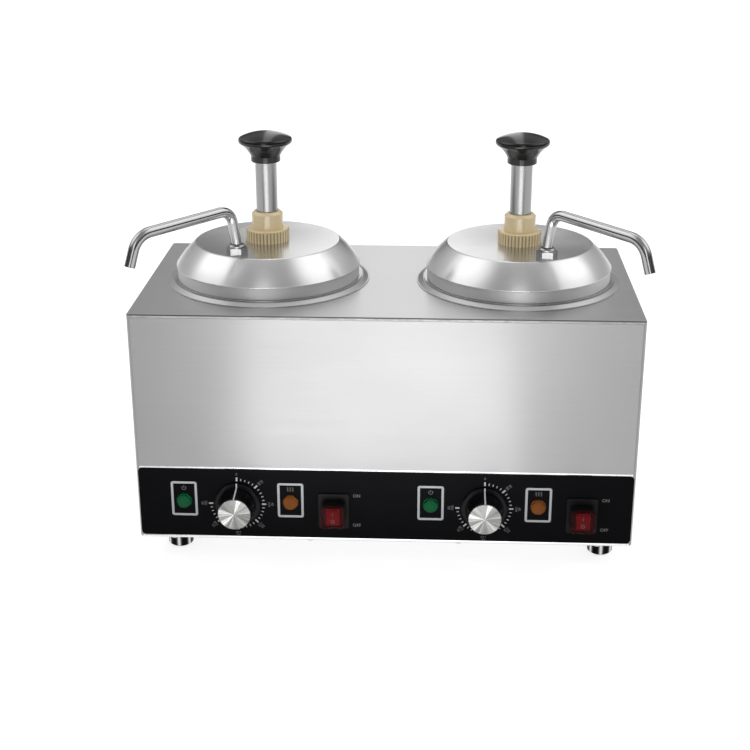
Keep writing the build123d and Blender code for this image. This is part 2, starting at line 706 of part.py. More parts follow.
# ================================================================ pot and lid
def make_pot(name, side):
    x = station_x(side)
    with BuildPart() as pot:
        with BuildSketch(half_section(x)):
            with BuildLine():
                sheet_outline(
                    [
                        (POT_RIM_R, POT_RIM_Z),
                        (POT_STEP_R, POT_RIM_Z),
                        (POT_STEP_R, POT_RIM_Z + POT_STEP_H),
                        (POT_R, POT_RIM_Z + POT_STEP_H),
                        (POT_R, POT_BOTTOM),
                        (0, POT_BOTTOM),
                    ],
                    [*POT_STEP_BENDS, POT_CORNER_R],
                    POT_SHEET,
                )
            make_face()
        revolve(axis=upright(x))
    pot.part.label = f"{name}_pot"
    export_step(pot.part, f"parts/{name}_pot.step")


def nut_place(side):
    return station_x(side) + side * NUT_X, NUT_Y


def make_lid(name, side):
    x = station_x(side)
    crease = (LID_CREASE_R, LID_TOP - LID_CREASE_DROP)
    shoulder = (LID_SHOULDER_R, LID_SHOULDER_Z)
    slope = atan2(crease[1] - shoulder[1], shoulder[0] - crease[0])
    middle = (
        (crease[0] + shoulder[0]) / 2 + LID_SHOULDER_BULGE * sin(slope),
        (crease[1] + shoulder[1]) / 2 + LID_SHOULDER_BULGE * cos(slope),
    )
    inner_crease = (crease[0] - LID_SHEET / 2, LID_TOP - 1.3 * LID_SHEET)
    inner_middle = (middle[0] - LID_SHEET * sin(slope), middle[1] - LID_SHEET * cos(slope))
    inner_shoulder = (LID_SKIRT_R - LID_SHEET, LID_SHOULDER_Z - 1.3 * LID_SHEET)
    with BuildPart() as lid:
        with BuildSketch(half_section(x)):
            with BuildLine():
                Polyline((0, LID_TOP), (LID_CREASE_R - 2 * LID_CREASE_DROP, LID_TOP), crease)
                ThreePointArc(crease, middle, shoulder)
                Polyline(
                    shoulder,
                    (LID_SHOULDER_R, LID_SHOULDER_Z - LID_SHEET),
                    (LID_SKIRT_R, LID_SHOULDER_Z - 2 * LID_SHEET),
                    (LID_SKIRT_R, LID_FOOT),
                    (LID_SKIRT_R - LID_SHEET, LID_FOOT),
                    inner_shoulder,
                )
                ThreePointArc(inner_shoulder, inner_middle, inner_crease)
                Polyline(
                    inner_crease,
                    (LID_CREASE_R - 3 * LID_CREASE_DROP, LID_TOP - LID_SHEET),
                    (0, LID_TOP - LID_SHEET),
                    (0, LID_TOP),
                )
            make_face()
        revolve(axis=upright(x))
        with Locations((x, 0, LID_TOP)):
            Hole(CYLINDER_R + SLIDE_GAP, depth=2 * LID_SHEET)
        with Locations((*nut_place(side), LID_TOP)):
            Hole(RISER_R + SLIDE_GAP, depth=2 * LID_SHEET)
    lid.part.label = f"{name}_lid"
    export_step(lid.part, f"parts/{name}_lid.step")


# ================================================================ pump
def make_collar(name, side):
    x = station_x(side)
    shelf = LID_TOP + COLLAR_H
    thread_r = CYLINDER_R + RUN_GAP
    bore_r = PLUNGER_R + SLIDE_GAP
    with BuildPart() as collar:
        with BuildSketch(half_section(x)):
            with BuildLine():
                Polyline(
                    (thread_r, LID_TOP),
                    (COLLAR_R, LID_TOP),
                    (COLLAR_R, shelf - COLLAR_BEVEL_H),
                    (COLLAR_R - COLLAR_BEVEL_W, shelf),
                    (COLLAR_NECK_R, shelf),
                    (COLLAR_NECK_R, COLLAR_NECK_TOP - COLLAR_CHAMFER),
                    (COLLAR_NECK_R - COLLAR_CHAMFER, COLLAR_NECK_TOP),
                    (bore_r, COLLAR_NECK_TOP),
                    (bore_r, shelf - COLLAR_ROOF),
                    (thread_r, shelf - COLLAR_ROOF),
                    (thread_r, LID_TOP),
                )
            make_face()
        revolve(axis=upright(x))
        with Locations((x, 0, LID_TOP)):
            with PolarLocations(COLLAR_R + COLLAR_FLUTE_OUT, COLLAR_FLUTES):
                Cylinder(
                    COLLAR_FLUTE_R,
                    COLLAR_H,
                    align=(Align.CENTER, Align.CENTER, Align.MIN),
                    mode=Mode.SUBTRACT,
                )
    collar.part.label = f"{name}_locking_collar"
    export_step(collar.part, f"parts/{name}_locking_collar.step")


def make_cylinder(name, side):
    x = station_x(side)
    flange_top = LID_TOP - LID_SHEET - SLIP
    with BuildPart() as cylinder:
        with BuildSketch(half_section(x)):
            with BuildLine():
                Polyline(
                    (CYLINDER_BORE_R, CYLINDER_BOTTOM),
                    (CYLINDER_R, CYLINDER_BOTTOM),
                    (CYLINDER_R, flange_top - CYLINDER_FLANGE_T),
                    (CYLINDER_FLANGE_R, flange_top - CYLINDER_FLANGE_T),
                    (CYLINDER_FLANGE_R, flange_top),
                    (CYLINDER_R, flange_top),
                    (CYLINDER_R, LID_TOP + COLLAR_H - COLLAR_ROOF - RUN_GAP),
                    (CYLINDER_BORE_R, LID_TOP + COLLAR_H - COLLAR_ROOF - RUN_GAP),
                    (CYLINDER_BORE_R, CYLINDER_BOTTOM),
                )
            make_face()
        revolve(axis=upright(x))
    cylinder.part.label = f"{name}_pump_cylinder"
    export_step(cylinder.part, f"parts/{name}_pump_cylinder.step")


def nut_direction(side):
    """Unit vector from the pump's axis to the discharge nut, and their distance."""
    reach = hypot(NUT_X, NUT_Y)
    return Vector(side * NUT_X / reach, NUT_Y / reach, 0), reach


def make_valve_body(name, side):
    x = station_x(side)
    outwards, _ = nut_direction(side)
    ceiling = VALVE_FLOOR - VALVE_ROOF_T
    with BuildPart() as body:
        with Locations((x, 0, VALVE_BOTTOM)):
            Cylinder(
                VALVE_R,
                CYLINDER_BOTTOM + VALVE_SOCKET - VALVE_BOTTOM,
                align=(Align.CENTER, Align.CENTER, Align.MIN),
            )
        with BuildSketch(Plane(origin=(x, 0, PORT_Z), z_dir=outwards)):
            Circle(VALVE_BOSS_R)
        extrude(amount=VALVE_BOSS_REACH)
        with BuildSketch(half_section(x)):
            with BuildLine():
                Polyline(
                    (0, VALVE_BOTTOM),
                    (VALVE_PORT_R, VALVE_BOTTOM),
                    (VALVE_PORT_R, VALVE_SEAT),
                    (VALVE_CHAMBER_R, VALVE_SEAT),
                    (VALVE_CHAMBER_R, ceiling),
                    (VALVE_PORT_R, ceiling),
                    (VALVE_PORT_R, VALVE_FLOOR),
                    (CYLINDER_BORE_R, VALVE_FLOOR),
                    (CYLINDER_BORE_R, CYLINDER_BOTTOM),
                    (CYLINDER_R + SLIP, CYLINDER_BOTTOM),
                    (CYLINDER_R + SLIP, CYLINDER_BOTTOM + VALVE_SOCKET),
                    (0, CYLINDER_BOTTOM + VALVE_SOCKET),
                    (0, VALVE_BOTTOM),
                )
            make_face()
        revolve(axis=upright(x), mode=Mode.SUBTRACT)
        with BuildSketch(Plane(origin=(x, 0, PORT_Z), z_dir=outwards)):
            Circle(SPOUT_BORE_R)
        extrude(amount=VALVE_BOSS_REACH, mode=Mode.SUBTRACT)
        socket = Vector(x, 0, PORT_Z) + outwards * (VALVE_R + RISER_STOP)
        with BuildSketch(Plane(origin=socket, z_dir=outwards)):
            Circle(RISER_R + SLIP)
        extrude(amount=VALVE_BOSS_REACH, mode=Mode.SUBTRACT)
    body.part.label = f"{name}_valve_body"
    export_step(body.part, f"parts/{name}_valve_body.step")


def make_riser(name, side):
    x, y = nut_place(side)
    outwards, reach = nut_direction(side)
    start = Vector(station_x(side), 0, PORT_Z) + outwards * (VALVE_R + RISER_STOP)
    corner = Vector(x, y, PORT_Z)
    top = Vector(x, y, RISER_TOP)
    collar_top = LID_TOP - LID_SHEET - SLIP
    pipe = tube_solid([start, corner, top], RISER_BEND_R, RISER_R, RISER_BORE_R)
    with BuildPart() as riser:
        add(pipe)
        with BuildSketch(Plane.XY.offset(collar_top - RISER_COLLAR_T)):
            with Locations((x, y)):
                Circle(RISER_R + RISER_COLLAR_W)
                Circle(RISER_BORE_R, mode=Mode.SUBTRACT)
        extrude(amount=RISER_COLLAR_T)
    riser.part.label = f"{name}_riser_tube"
    export_step(riser.part, f"parts/{name}_riser_tube.step")


def make_ball(name, side):
    with BuildPart() as ball:
        with Locations((station_x(side), 0, VALVE_SEAT + BALL_PERCH)):
            Sphere(BALL_R)
    ball.part.label = f"{name}_inlet_ball"
    export_step(ball.part, f"parts/{name}_inlet_ball.step")


def make_plunger(name, side):
    x = station_x(side)
    tube_top = KNOB_BOTTOM + KNOB_SOCKET
    piston_top = PISTON_BOTTOM + PISTON_H
    with BuildPart() as tube:
        with BuildSketch(Plane.XY.offset(piston_top)):
            with Locations((x, 0)):
                Circle(PLUNGER_R)
                Circle(PLUNGER_BORE_R, mode=Mode.SUBTRACT)
        extrude(amount=tube_top - piston_top)
    tube.part.label = f"{name}_plunger_tube"
    export_step(tube.part, f"parts/{name}_plunger_tube.step")

    piston_r = CYLINDER_BORE_R - SLIDE_GAP
    seal_r = CYLINDER_BORE_R - RUN_GAP - SEAL_R
    groove_r = seal_r - SEAL_R - RUN_GAP
    groove_z = PISTON_BOTTOM + (PISTON_H - PISTON_GROOVE_H) / 2
    with BuildPart() as piston:
        with BuildSketch(half_section(x)):
            with BuildLine():
                Polyline(
                    (0, PISTON_BOTTOM),
                    (piston_r, PISTON_BOTTOM),
                    (piston_r, groove_z),
                    (groove_r, groove_z),
                    (groove_r, groove_z + PISTON_GROOVE_H),
                    (piston_r, groove_z + PISTON_GROOVE_H),
                    (piston_r, piston_top),
                    (PLUNGER_BORE_R - SLIP, piston_top),
                    (PLUNGER_BORE_R - SLIP, piston_top + PISTON_STEM_H),
                    (0, piston_top + PISTON_STEM_H),
                    (0, PISTON_BOTTOM),
                )
            make_face()
        revolve(axis=upright(x))
    piston.part.label = f"{name}_piston"
    export_step(piston.part, f"parts/{name}_piston.step")

    with BuildPart() as seal:
        with BuildSketch(half_section(x)):
            with Locations((seal_r, PISTON_BOTTOM + PISTON_H / 2)):
                Circle(SEAL_R)
        revolve(axis=upright(x))
    seal.part.label = f"{name}_piston_seal"
    export_step(seal.part, f"parts/{name}_piston_seal.step")


def make_plunger_knob(name, side):
    """Turned push knob: a straight neck flares out to a rounded rim under a low dome."""
    x = station_x(side)
    foot_r = KNOB_NECK_R - KNOB_NECK_EDGE
    neck_foot = (KNOB_NECK_R, KNOB_BOTTOM + KNOB_NECK_EDGE)
    neck_top = (KNOB_NECK_R, KNOB_BOTTOM + KNOB_NECK_H)
    flare = (KNOB_FLARE_R, KNOB_BOTTOM + KNOB_FLARE_H)
    under_rim = (KNOB_UNDER_R, KNOB_BOTTOM + KNOB_UNDER_H)
    rim = (KNOB_RIM_R, KNOB_BOTTOM + KNOB_RIM_H)
    brow = (KNOB_BROW_R, KNOB_BOTTOM + KNOB_BROW_H)
    crown = (0, KNOB_BOTTOM + KNOB_H)
    dome_r, dome_drop = dome_middle(brow[0], crown[1] - brow[1])
    socket_r = PLUNGER_R + SLIP
    socket_top = KNOB_BOTTOM + KNOB_SOCKET
    with BuildPart() as knob:
        with BuildSketch(half_section(x)):
            with BuildLine():
                Polyline(crown, (0, socket_top), (socket_r, socket_top), (socket_r, KNOB_BOTTOM))
                Polyline((socket_r, KNOB_BOTTOM), (foot_r, KNOB_BOTTOM), neck_foot, neck_top)
                ThreePointArc(neck_top, flare, under_rim)
                ThreePointArc(under_rim, rim, brow)
                ThreePointArc(brow, (dome_r, crown[1] - dome_drop), crown)
            make_face()
        revolve(axis=upright(x))
    knob.part.label = f"{name}_plunger_knob"
    export_step(knob.part, f"parts/{name}_plunger_knob.step")


def make_spring(name, side):
    bottom = VALVE_FLOOR + SPRING_WIRE_R + RUN_GAP
    height = PISTON_BOTTOM - SPRING_WIRE_R - RUN_GAP - bottom
    with BuildPart() as spring:
        with BuildLine(mode=Mode.PRIVATE) as coil:
            Helix(height / SPRING_TURNS, height, SPRING_R, center=(station_x(side), 0, bottom))
        path = coil.wire()
        with BuildSketch(Plane(origin=path @ 0, z_dir=path % 0)):
            Circle(SPRING_WIRE_R)
        sweep(path=path, is_frenet=True)
    spring.part.label = f"{name}_return_spring"
    export_step(spring.part, f"parts/{name}_return_spring.step")


# ================================================================ discharge spout
def spout_points(side):
    """Corners of the spout's centreline, from its foot in the riser to its mouth."""
    x, y = nut_place(side)
    outwards = Vector(side * cos(radians(SPOUT_TURN)), -sin(radians(SPOUT_TURN)), 0)
    up = Vector(0, 0, 1)
    lean, fall, tip = radians(SPOUT_LEAN), radians(SPOUT_FALL), radians(SPOUT_TIP_LEAN)
    foot = Vector(x, y, RISER_TOP - SPOUT_DIP)
    ankle = Vector(x, y, LID_TOP + NUT_H + SPOUT_ANKLE)
    knee = ankle + outwards * (SPOUT_LEG_H * tan(lean)) + up * SPOUT_LEG_H
    nose = knee + (outwards * cos(fall) - up * sin(fall)) * SPOUT_RUN_L
    mouth = nose + (outwards * sin(tip) - up * cos(tip)) * SPOUT_TIP_L
    return [foot, ankle, knee, nose, mouth]


def make_spout(name, side):
    bends = [SPOUT_FOOT_BEND_R, SPOUT_KNEE_R, SPOUT_NOSE_R]
    pipe = tube_solid(spout_points(side), bends, SPOUT_R, SPOUT_BORE_R)
    with BuildPart() as spout:
        add(pipe)
    spout.part.label = f"{name}_spout"
    export_step(spout.part, f"parts/{name}_spout.step")


def make_nut(name, side):
    x, y = nut_place(side)
    top = LID_TOP + NUT_H
    neck_top = top + NUT_NECK_H
    riser_r = RISER_R + RUN_GAP
    spout_r = SPOUT_R + 2 * SLIDE_GAP
    with BuildPart() as nut:
        with BuildSketch(Plane.XY.offset(LID_TOP)):
            with Locations((x, y)):
                RegularPolygon(NUT_FLATS / 2, 6, major_radius=False)
        extrude(amount=NUT_H)
        # a lathe-turned chamfer takes the corners off the hexagon's top
        with BuildSketch(half_section(x, y)):
            with BuildLine():
                Polyline(
                    (NUT_FLATS / 2, top),
                    (NUT_FLATS, top),
                    (NUT_FLATS, top - NUT_BEVEL_H),
                    (NUT_FLATS / 2, top),
                )
            make_face()
        revolve(axis=upright(x, y), mode=Mode.SUBTRACT)
        with BuildSketch(half_section(x, y)):
            with BuildLine():
                Polyline(
                    (SPOUT_R, top - NUT_ROOF),
                    (NUT_NECK_R, top - NUT_ROOF),
                    (NUT_NECK_R, neck_top - NUT_NECK_EDGE),
                    (NUT_NECK_R - NUT_NECK_EDGE, neck_top),
                    (SPOUT_R, neck_top),
                    (SPOUT_R, top - NUT_ROOF),
                )
            make_face()
        revolve(axis=upright(x, y))
        # bore for the riser, and the narrower one that the spout turns in
        with BuildSketch(half_section(x, y)):
            with BuildLine():
                Polyline(
                    (0, LID_TOP),
                    (riser_r, LID_TOP),
                    (riser_r, RISER_TOP + RUN_GAP),
                    (spout_r, RISER_TOP + RUN_GAP),
                    (spout_r, neck_top),
                    (0, neck_top),
                    (0, LID_TOP),
                )
            make_face()
        revolve(axis=upright(x, y), mode=Mode.SUBTRACT)
    nut.part.label = f"{name}_spout_nut"
    export_step(nut.part, f"parts/{name}_spout_nut.step")


# ================================================================ control fascia
def make_fascia():
    height = FASCIA_Z1 - FASCIA_Z0
    middle = (FASCIA_Z0 + FASCIA_Z1) / 2
    tongue_front = FRONT + SHEET
    tongue_w = CASE_W - 2 * CORNER_R
    with BuildPart() as fascia:
        with BuildSketch(front_plane()):
            with Locations((0, middle)):
                Rectangle(FASCIA_W, height)
            fillet(vertices().group_by(Axis.Z)[-1], FASCIA_CORNER_R)
        extrude(amount=-FASCIA_T)
        # the tongue stands behind the casing sheet above the window
        with Locations((0, (tongue_front + FASCIA_BACK) / 2, FASCIA_Z1 - FASCIA_CORNER_R)):
            Box(
                tongue_w,
                FASCIA_BACK - tongue_front,
                FASCIA_TONGUE + FASCIA_CORNER_R,
                align=(Align.CENTER, Align.CENTER, Align.MIN),
            )
        with BuildSketch(front_plane()):
            for side in SIDES.values():
                with Locations((dial_x(side), DIAL_Z)):
                    Circle(BUSHING_R + SLIP)
                with Locations(*[(dial_x(side) + s * LAMP_OFFSET, LAMP_Z) for s in SIDES.values()]):
                    Circle(LAMP_BODY_R + SLIP)
                with Locations((dial_x(side) + SWITCH_OFFSET, SWITCH_Z)):
                    Rectangle(SWITCH_BODY_W + 2 * SLIP, SWITCH_BODY_H + 2 * SLIP)
        extrude(amount=-FASCIA_T, mode=Mode.SUBTRACT)
    fascia.part.label = "control_fascia"
    export_step(fascia.part, "parts/control_fascia.step")


def make_thermostats():
    with BuildPart() as thermostats:
        with Locations(*[(dial_x(s), FASCIA_BACK, DIAL_Z) for s in SIDES.values()]):
            Box(THERMO_W, THERMO_D, THERMO_W, align=(Align.CENTER, Align.MIN, Align.CENTER))
        fillet(thermostats.edges().filter_by(Axis.Y), THERMO_CORNER_R)
        for side in SIDES.values():
            x = dial_x(side)
            with BuildSketch(dial_section(x, DIAL_Z)):
                with BuildLine():
                    Polyline(
                        (-FASCIA_T, SHAFT_R + RUN_GAP),
                        (BUSHING_STAND, SHAFT_R + RUN_GAP),
                        (BUSHING_STAND, BUSHING_R),
                        (-FASCIA_T, BUSHING_R),
                        (-FASCIA_T, SHAFT_R + RUN_GAP),
                    )
                make_face()
            revolve(axis=forwards(x, DIAL_Z))
            # blind hole that the spindle turns in
            with BuildSketch(Plane(origin=(x, FASCIA_BACK, DIAL_Z), z_dir=(0, 1, 0))):
                Circle(SHAFT_R + RUN_GAP)
            extrude(amount=SHAFT_DEPTH + RUN_GAP, mode=Mode.SUBTRACT)
    thermostats.part.label = "thermostats"
    export_step(thermostats.part, "parts/thermostats.step")


def make_spindle(name, side):
    x = dial_x(side)
    with BuildPart() as spindle:
        with BuildSketch(front_plane(-FASCIA_T - SHAFT_DEPTH)):
            with Locations((x, DIAL_Z)):
                Circle(SHAFT_R)
        extrude(amount=SHAFT_DEPTH + FASCIA_T + SHAFT_L)
        # flat on the end that the knob grips
        with BuildSketch(front_plane(SHAFT_L)):
            with Locations((x, DIAL_Z - SHAFT_FLAT)):
                Rectangle(4 * SHAFT_R, 2 * SHAFT_R, align=(Align.CENTER, Align.MAX))
        extrude(amount=-(SHAFT_L - DIAL_GAP - DIAL_SKIRT_T), mode=Mode.SUBTRACT)
    spindle.part.label = f"{name}_thermostat_spindle"
    export_step(spindle.part, f"parts/{name}_thermostat_spindle.step")


def make_dial(name, side):
    x = dial_x(side)
    cap_back = DIAL_DEPTH - DIAL_CAP_T
    with BuildPart() as dial:
        with BuildSketch(dial_section(x, DIAL_Z)):
            with BuildLine():
                Polyline(
                    (DIAL_GAP, 0),
                    (DIAL_GAP, DIAL_SKIRT_R),
                    (DIAL_GAP + DIAL_SKIRT_T - DIAL_EDGE, DIAL_SKIRT_R),
                    (DIAL_GAP + DIAL_SKIRT_T, DIAL_SKIRT_R - DIAL_EDGE),
                    (DIAL_GAP + DIAL_SKIRT_T, DIAL_GRIP_R),
                    (DIAL_DEPTH - DIAL_EDGE, DIAL_CAP_R + DIAL_LIP),
                    (DIAL_DEPTH - DIAL_LIP_H, DIAL_CAP_R + SLIP),
                    (cap_back, DIAL_CAP_R + SLIP),
                    (cap_back, 0),
                    (DIAL_GAP, 0),
                )
            make_face()
        revolve(axis=forwards(x, DIAL_Z))
        # socket for the spindle, with its flat, and relief for the bushing
        with BuildSketch(front_plane(DIAL_GAP)):
            with Locations((x, DIAL_Z)):
                Circle(SHAFT_R + SLIP)
        extrude(amount=DIAL_SKIRT_T, mode=Mode.SUBTRACT)
        with BuildSketch(front_plane(DIAL_GAP + DIAL_SKIRT_T)):
            with Locations((x, DIAL_Z)):
                Circle(SHAFT_R + SLIP)
            with Locations((x, DIAL_Z - SHAFT_FLAT - SLIP)):
                Rectangle(4 * SHAFT_R, 2 * SHAFT_R, align=(Align.CENTER, Align.MAX), mode=Mode.SUBTRACT)
        extrude(amount=SHAFT_L - DIAL_GAP - DIAL_SKIRT_T + SLIP, mode=Mode.SUBTRACT)
    dial.part.label = f"{name}_control_knob"
    export_step(dial.part, f"parts/{name}_control_knob.step")

    with BuildPart() as cap:
        with BuildSketch(front_plane(cap_back)):
            with Locations((x, DIAL_Z)):
                Circle(DIAL_CAP_R)
        extrude(amount=DIAL_CAP_T)
        chamfer(cap.faces().sort_by(Axis.Y)[0].edges(), DIAL_CAP_T / 3)
    cap.part.label = f"{name}_knob_cap"
    export_step(cap.part, f"parts/{name}_knob_cap.step")


def bulb_place(side):
    """Foot of the thermostat's bulb, against the outside of the well."""
    reach = WELL_R + CLIP_T / 2 + BULB_R
    a = radians(BULB_ANGLE)
    return Vector(station_x(side) - side * reach * cos(a), reach * sin(a), BULB_Z)


def capillary(side):
    """Thin tube from the top of the thermostat's case, along behind the fascia and up to the bulb."""
    foot = bulb_place(side)
    case_top = DIAL_Z + THERMO_W / 2
    start_y = FASCIA_BACK + THERMO_D / 2
    level = case_top + CAPILLARY_RISE
    toward = 1 if foot.X > dial_x(side) else -1
    start_x = dial_x(side) + toward * THERMO_W / 4
    route = [
        Vector(start_x, start_y, case_top),
        Vector(start_x, start_y, level),
        Vector(foot.X - toward * CAPILLARY_TURN, start_y, level),
        Vector(foot.X, foot.Y, level + CAPILLARY_CLIMB),
        foot,
    ]
    return tube_solid(route, [CAPILLARY_FIRST_BEND, CAPILLARY_BEND, CAPILLARY_BEND], CAPILLARY_R)


def make_capillaries():
    tubes = [capillary(side) for side in SIDES.values()]
    with BuildPart() as capillaries:
        add(tubes)
        with Locations(*[bulb_place(side) for side in SIDES.values()]):
            Cylinder(BULB_R, BULB_L, align=(Align.CENTER, Align.CENTER, Align.MIN))
    capillaries.part.label = "thermostat_bulbs"
    export_step(capillaries.part, "parts/thermostat_bulbs.step")


def make_clips():
    """A spring clip, spot-welded to the well, wraps each bulb."""
    clip_r = BULB_R + SLIP
    with BuildPart() as clips:
        for side in SIDES.values():
            foot = bulb_place(side)
            to_axis = Vector(station_x(side) - foot.X, -foot.Y, 0)
            reach, inwards = to_axis.length, to_axis.normalized()
            z = BULB_Z + (BULB_L - CLIP_H) / 2
            plane = Plane(origin=(foot.X, foot.Y, z), x_dir=inwards, z_dir=(0, 0, 1))
            with BuildSketch(plane):
                Circle(clip_r + CLIP_T)
                with Locations((reach - WELL_R - CLIP_T, 0)):
                    Rectangle(2 * CLIP_T, 2 * (clip_r + CLIP_EAR), align=(Align.MIN, Align.CENTER))
                Circle(clip_r, mode=Mode.SUBTRACT)
                with Locations((reach, 0)):
                    Circle(WELL_R + SLIP, mode=Mode.SUBTRACT)
            extrude(amount=CLIP_H)
    clips.part.label = "bulb_clips"
    export_step(clips.part, "parts/bulb_clips.step")


# ================================================================ lamps
def make_lamps():
    dome_r, dome_drop = dome_middle(LENS_R - LENS_DRAFT, LENS_DOME)
    for name, place in (("power", -1), ("heating", 1)):
        with BuildPart() as lenses:
            for side in SIDES.values():
                x = dial_x(side) + place * LAMP_OFFSET
                with BuildSketch(dial_section(x, LAMP_Z)):
                    with BuildLine():
                        Polyline(
                            (LENS_H, 0),
                            (0, 0),
                            (0, LENS_FLANGE_R),
                            (LENS_FLANGE_T - LENS_EDGE, LENS_FLANGE_R),
                            (LENS_FLANGE_T, LENS_FLANGE_R - LENS_EDGE),
                            (LENS_FLANGE_T, LENS_R),
                            (LENS_H - LENS_DOME, LENS_R - LENS_DRAFT),
                        )
                        ThreePointArc(
                            (LENS_H - LENS_DOME, LENS_R - LENS_DRAFT),
                            (LENS_H - dome_drop, dome_r),
                            (LENS_H, 0),
                        )
                    make_face()
                revolve(axis=forwards(x, LAMP_Z))
        lenses.part.label = f"{name}_lamp_lenses"
        export_step(lenses.part, f"parts/{name}_lamp_lenses.step")

    places = [(dial_x(s) + p * LAMP_OFFSET, LAMP_Z) for s in SIDES.values() for p in SIDES.values()]
    with BuildPart() as bodies:
        with BuildSketch(front_plane()):
            with Locations(*places):
                Circle(LAMP_BODY_R)
        extrude(amount=-FASCIA_T)
        with BuildSketch(front_plane(-FASCIA_T)):
            with Locations(*places):
                Circle(LENS_FLANGE_R)
        extrude(amount=-LAMP_NUT_T)
        with BuildSketch(front_plane(-FASCIA_T - LAMP_NUT_T)):
            with Locations(*places):
                Circle(LAMP_BODY_R - LAMP_TAIL_IN)
        extrude(amount=-(LAMP_BODY_L - FASCIA_T - LAMP_NUT_T))
    bodies.part.label = "lamp_bodies"
    export_step(bodies.part, "parts/lamp_bodies.step")


# ================================================================ rocker switches
def switch_x(side):
    return dial_x(side) + SWITCH_OFFSET


def make_switch_frames():
    """Black housing: body behind the fascia, bezel on it, and a ribbed neck that carries the cover."""
    cavity_w = ROCKER_W + 2 * CAVITY_SIDE
    cavity_h = ROCKER_H + 2 * CAVITY_END
    floor = ROCKER_BACK - CAVITY_FLOOR
    pin_hole_l = ROCKER_W + 2 * (ROCKER_PIN_END + CAVITY_SIDE)
    with BuildPart() as frames:
        for side in SIDES.values():
            x = switch_x(side)
            with BuildSketch(front_plane()):
                with Locations((x, SWITCH_Z)):
                    RectangleRounded(BEZEL_W, BEZEL_H, BEZEL_R)
            extrude(amount=BEZEL_T)
            with BuildSketch(front_plane()):
                with Locations((x, SWITCH_Z)):
                    Rectangle(SWITCH_BODY_W, SWITCH_BODY_H)
            extrude(amount=-SWITCH_BODY_L)
            with BuildSketch(front_plane(BEZEL_T)):
                with Locations((x, SWITCH_Z)):
                    RectangleRounded(NECK_W, NECK_H, NECK_R)
            extrude(amount=NECK_END - BEZEL_T)
            for at in RIDGE_AT:
                with BuildSketch(front_plane(at)):
                    with Locations((x, SWITCH_Z)):
                        RectangleRounded(NECK_W + 2 * RIDGE_OUT, NECK_H + 2 * RIDGE_OUT, NECK_R + RIDGE_OUT)
                extrude(amount=RIDGE_T)
            with BuildSketch(front_plane(floor)):
                with Locations((x, SWITCH_Z)):
                    Rectangle(cavity_w, cavity_h)
            extrude(amount=NECK_END - floor, mode=Mode.SUBTRACT)
            with Locations(Plane(origin=(x, FASCIA_FACE - ROCKER_PIVOT, SWITCH_Z), z_dir=(1, 0, 0))):
                Cylinder(ROCKER_PIN_R + RUN_GAP, pin_hole_l, mode=Mode.SUBTRACT)
    frames.part.label = "switch_frames"
    export_step(frames.part, "parts/switch_frames.step")


def make_rocker(name, side):
    """Two-faced key on a cross pin, resting with its lower half pressed in."""
    x = switch_x(side)
    pivot = Vector(x, FASCIA_FACE - ROCKER_PIVOT, SWITCH_Z)
    tilt = radians(ROCKER_TILT)
    back, front = ROCKER_BACK - ROCKER_PIVOT, ROCKER_FRONT - ROCKER_PIVOT
    # local x is the distance out from the pin, local y the height below it
    flank = pivot - Vector(ROCKER_W / 2, 0, 0)
    section = Plane(origin=flank, x_dir=(0, -cos(tilt), -sin(tilt)), z_dir=(1, 0, 0))
    with BuildPart() as rocker:
        with BuildSketch(section):
            with BuildLine():
                Polyline(
                    (back, -ROCKER_HEEL_H / 2),
                    (back, ROCKER_HEEL_H / 2),
                    (back + ROCKER_HEEL, ROCKER_H / 2),
                    (front, ROCKER_H / 2),
                    (front - ROCKER_VALLEY, 0),
                    (front, -ROCKER_H / 2),
                    (back + ROCKER_HEEL, -ROCKER_H / 2),
                    (back, -ROCKER_HEEL_H / 2),
                )
            make_face()
        extrude(amount=ROCKER_W)
        with Locations(Plane(origin=pivot, z_dir=(1, 0, 0))):
            Cylinder(ROCKER_PIN_R, ROCKER_W + 2 * ROCKER_PIN_END)
    rocker.part.label = f"{name}_rocker"
    export_step(rocker.part, f"parts/{name}_rocker.step")


def make_covers():
    """Splash cover over each rocker: a thin translucent cap, closed at the front."""
    with BuildPart() as covers:
        for side in SIDES.values():
            with BuildSketch(front_plane(NECK_END)):
                with Locations((switch_x(side), SWITCH_Z)):
                    RectangleRounded(COVER_W, COVER_H, COVER_R)
            extrude(amount=COVER_END - NECK_END)
        fronts = covers.faces().filter_by(Axis.Y).group_by(Axis.Y)[0]
        fillet(fronts.edges(), COVER_EDGE_R)
        for side in SIDES.values():
            with BuildSketch(front_plane(NECK_END)):
                with Locations((switch_x(side), SWITCH_Z)):
                    RectangleRounded(COVER_W - 2 * COVER_WALL, COVER_H - 2 * COVER_WALL, COVER_R - COVER_WALL)
            extrude(amount=COVER_END - NECK_END - COVER_WALL, mode=Mode.SUBTRACT)
    covers.part.label = "switch_covers"
    export_step(covers.part, "parts/switch_covers.step")


# ================================================================ supply inlet
def back_section():
    """Plane through the gland's axis: local x is the distance out of the back wall, local y the radius."""
    return Plane(origin=(GLAND_X, BACK, GLAND_Z), x_dir=(0, 1, 0), z_dir=(-1, 0, 0))


def back_plane(depth=0.0):
    return Plane(origin=(GLAND_X, BACK + depth, GLAND_Z), x_dir=(-1, 0, 0), z_dir=(0, 1, 0))


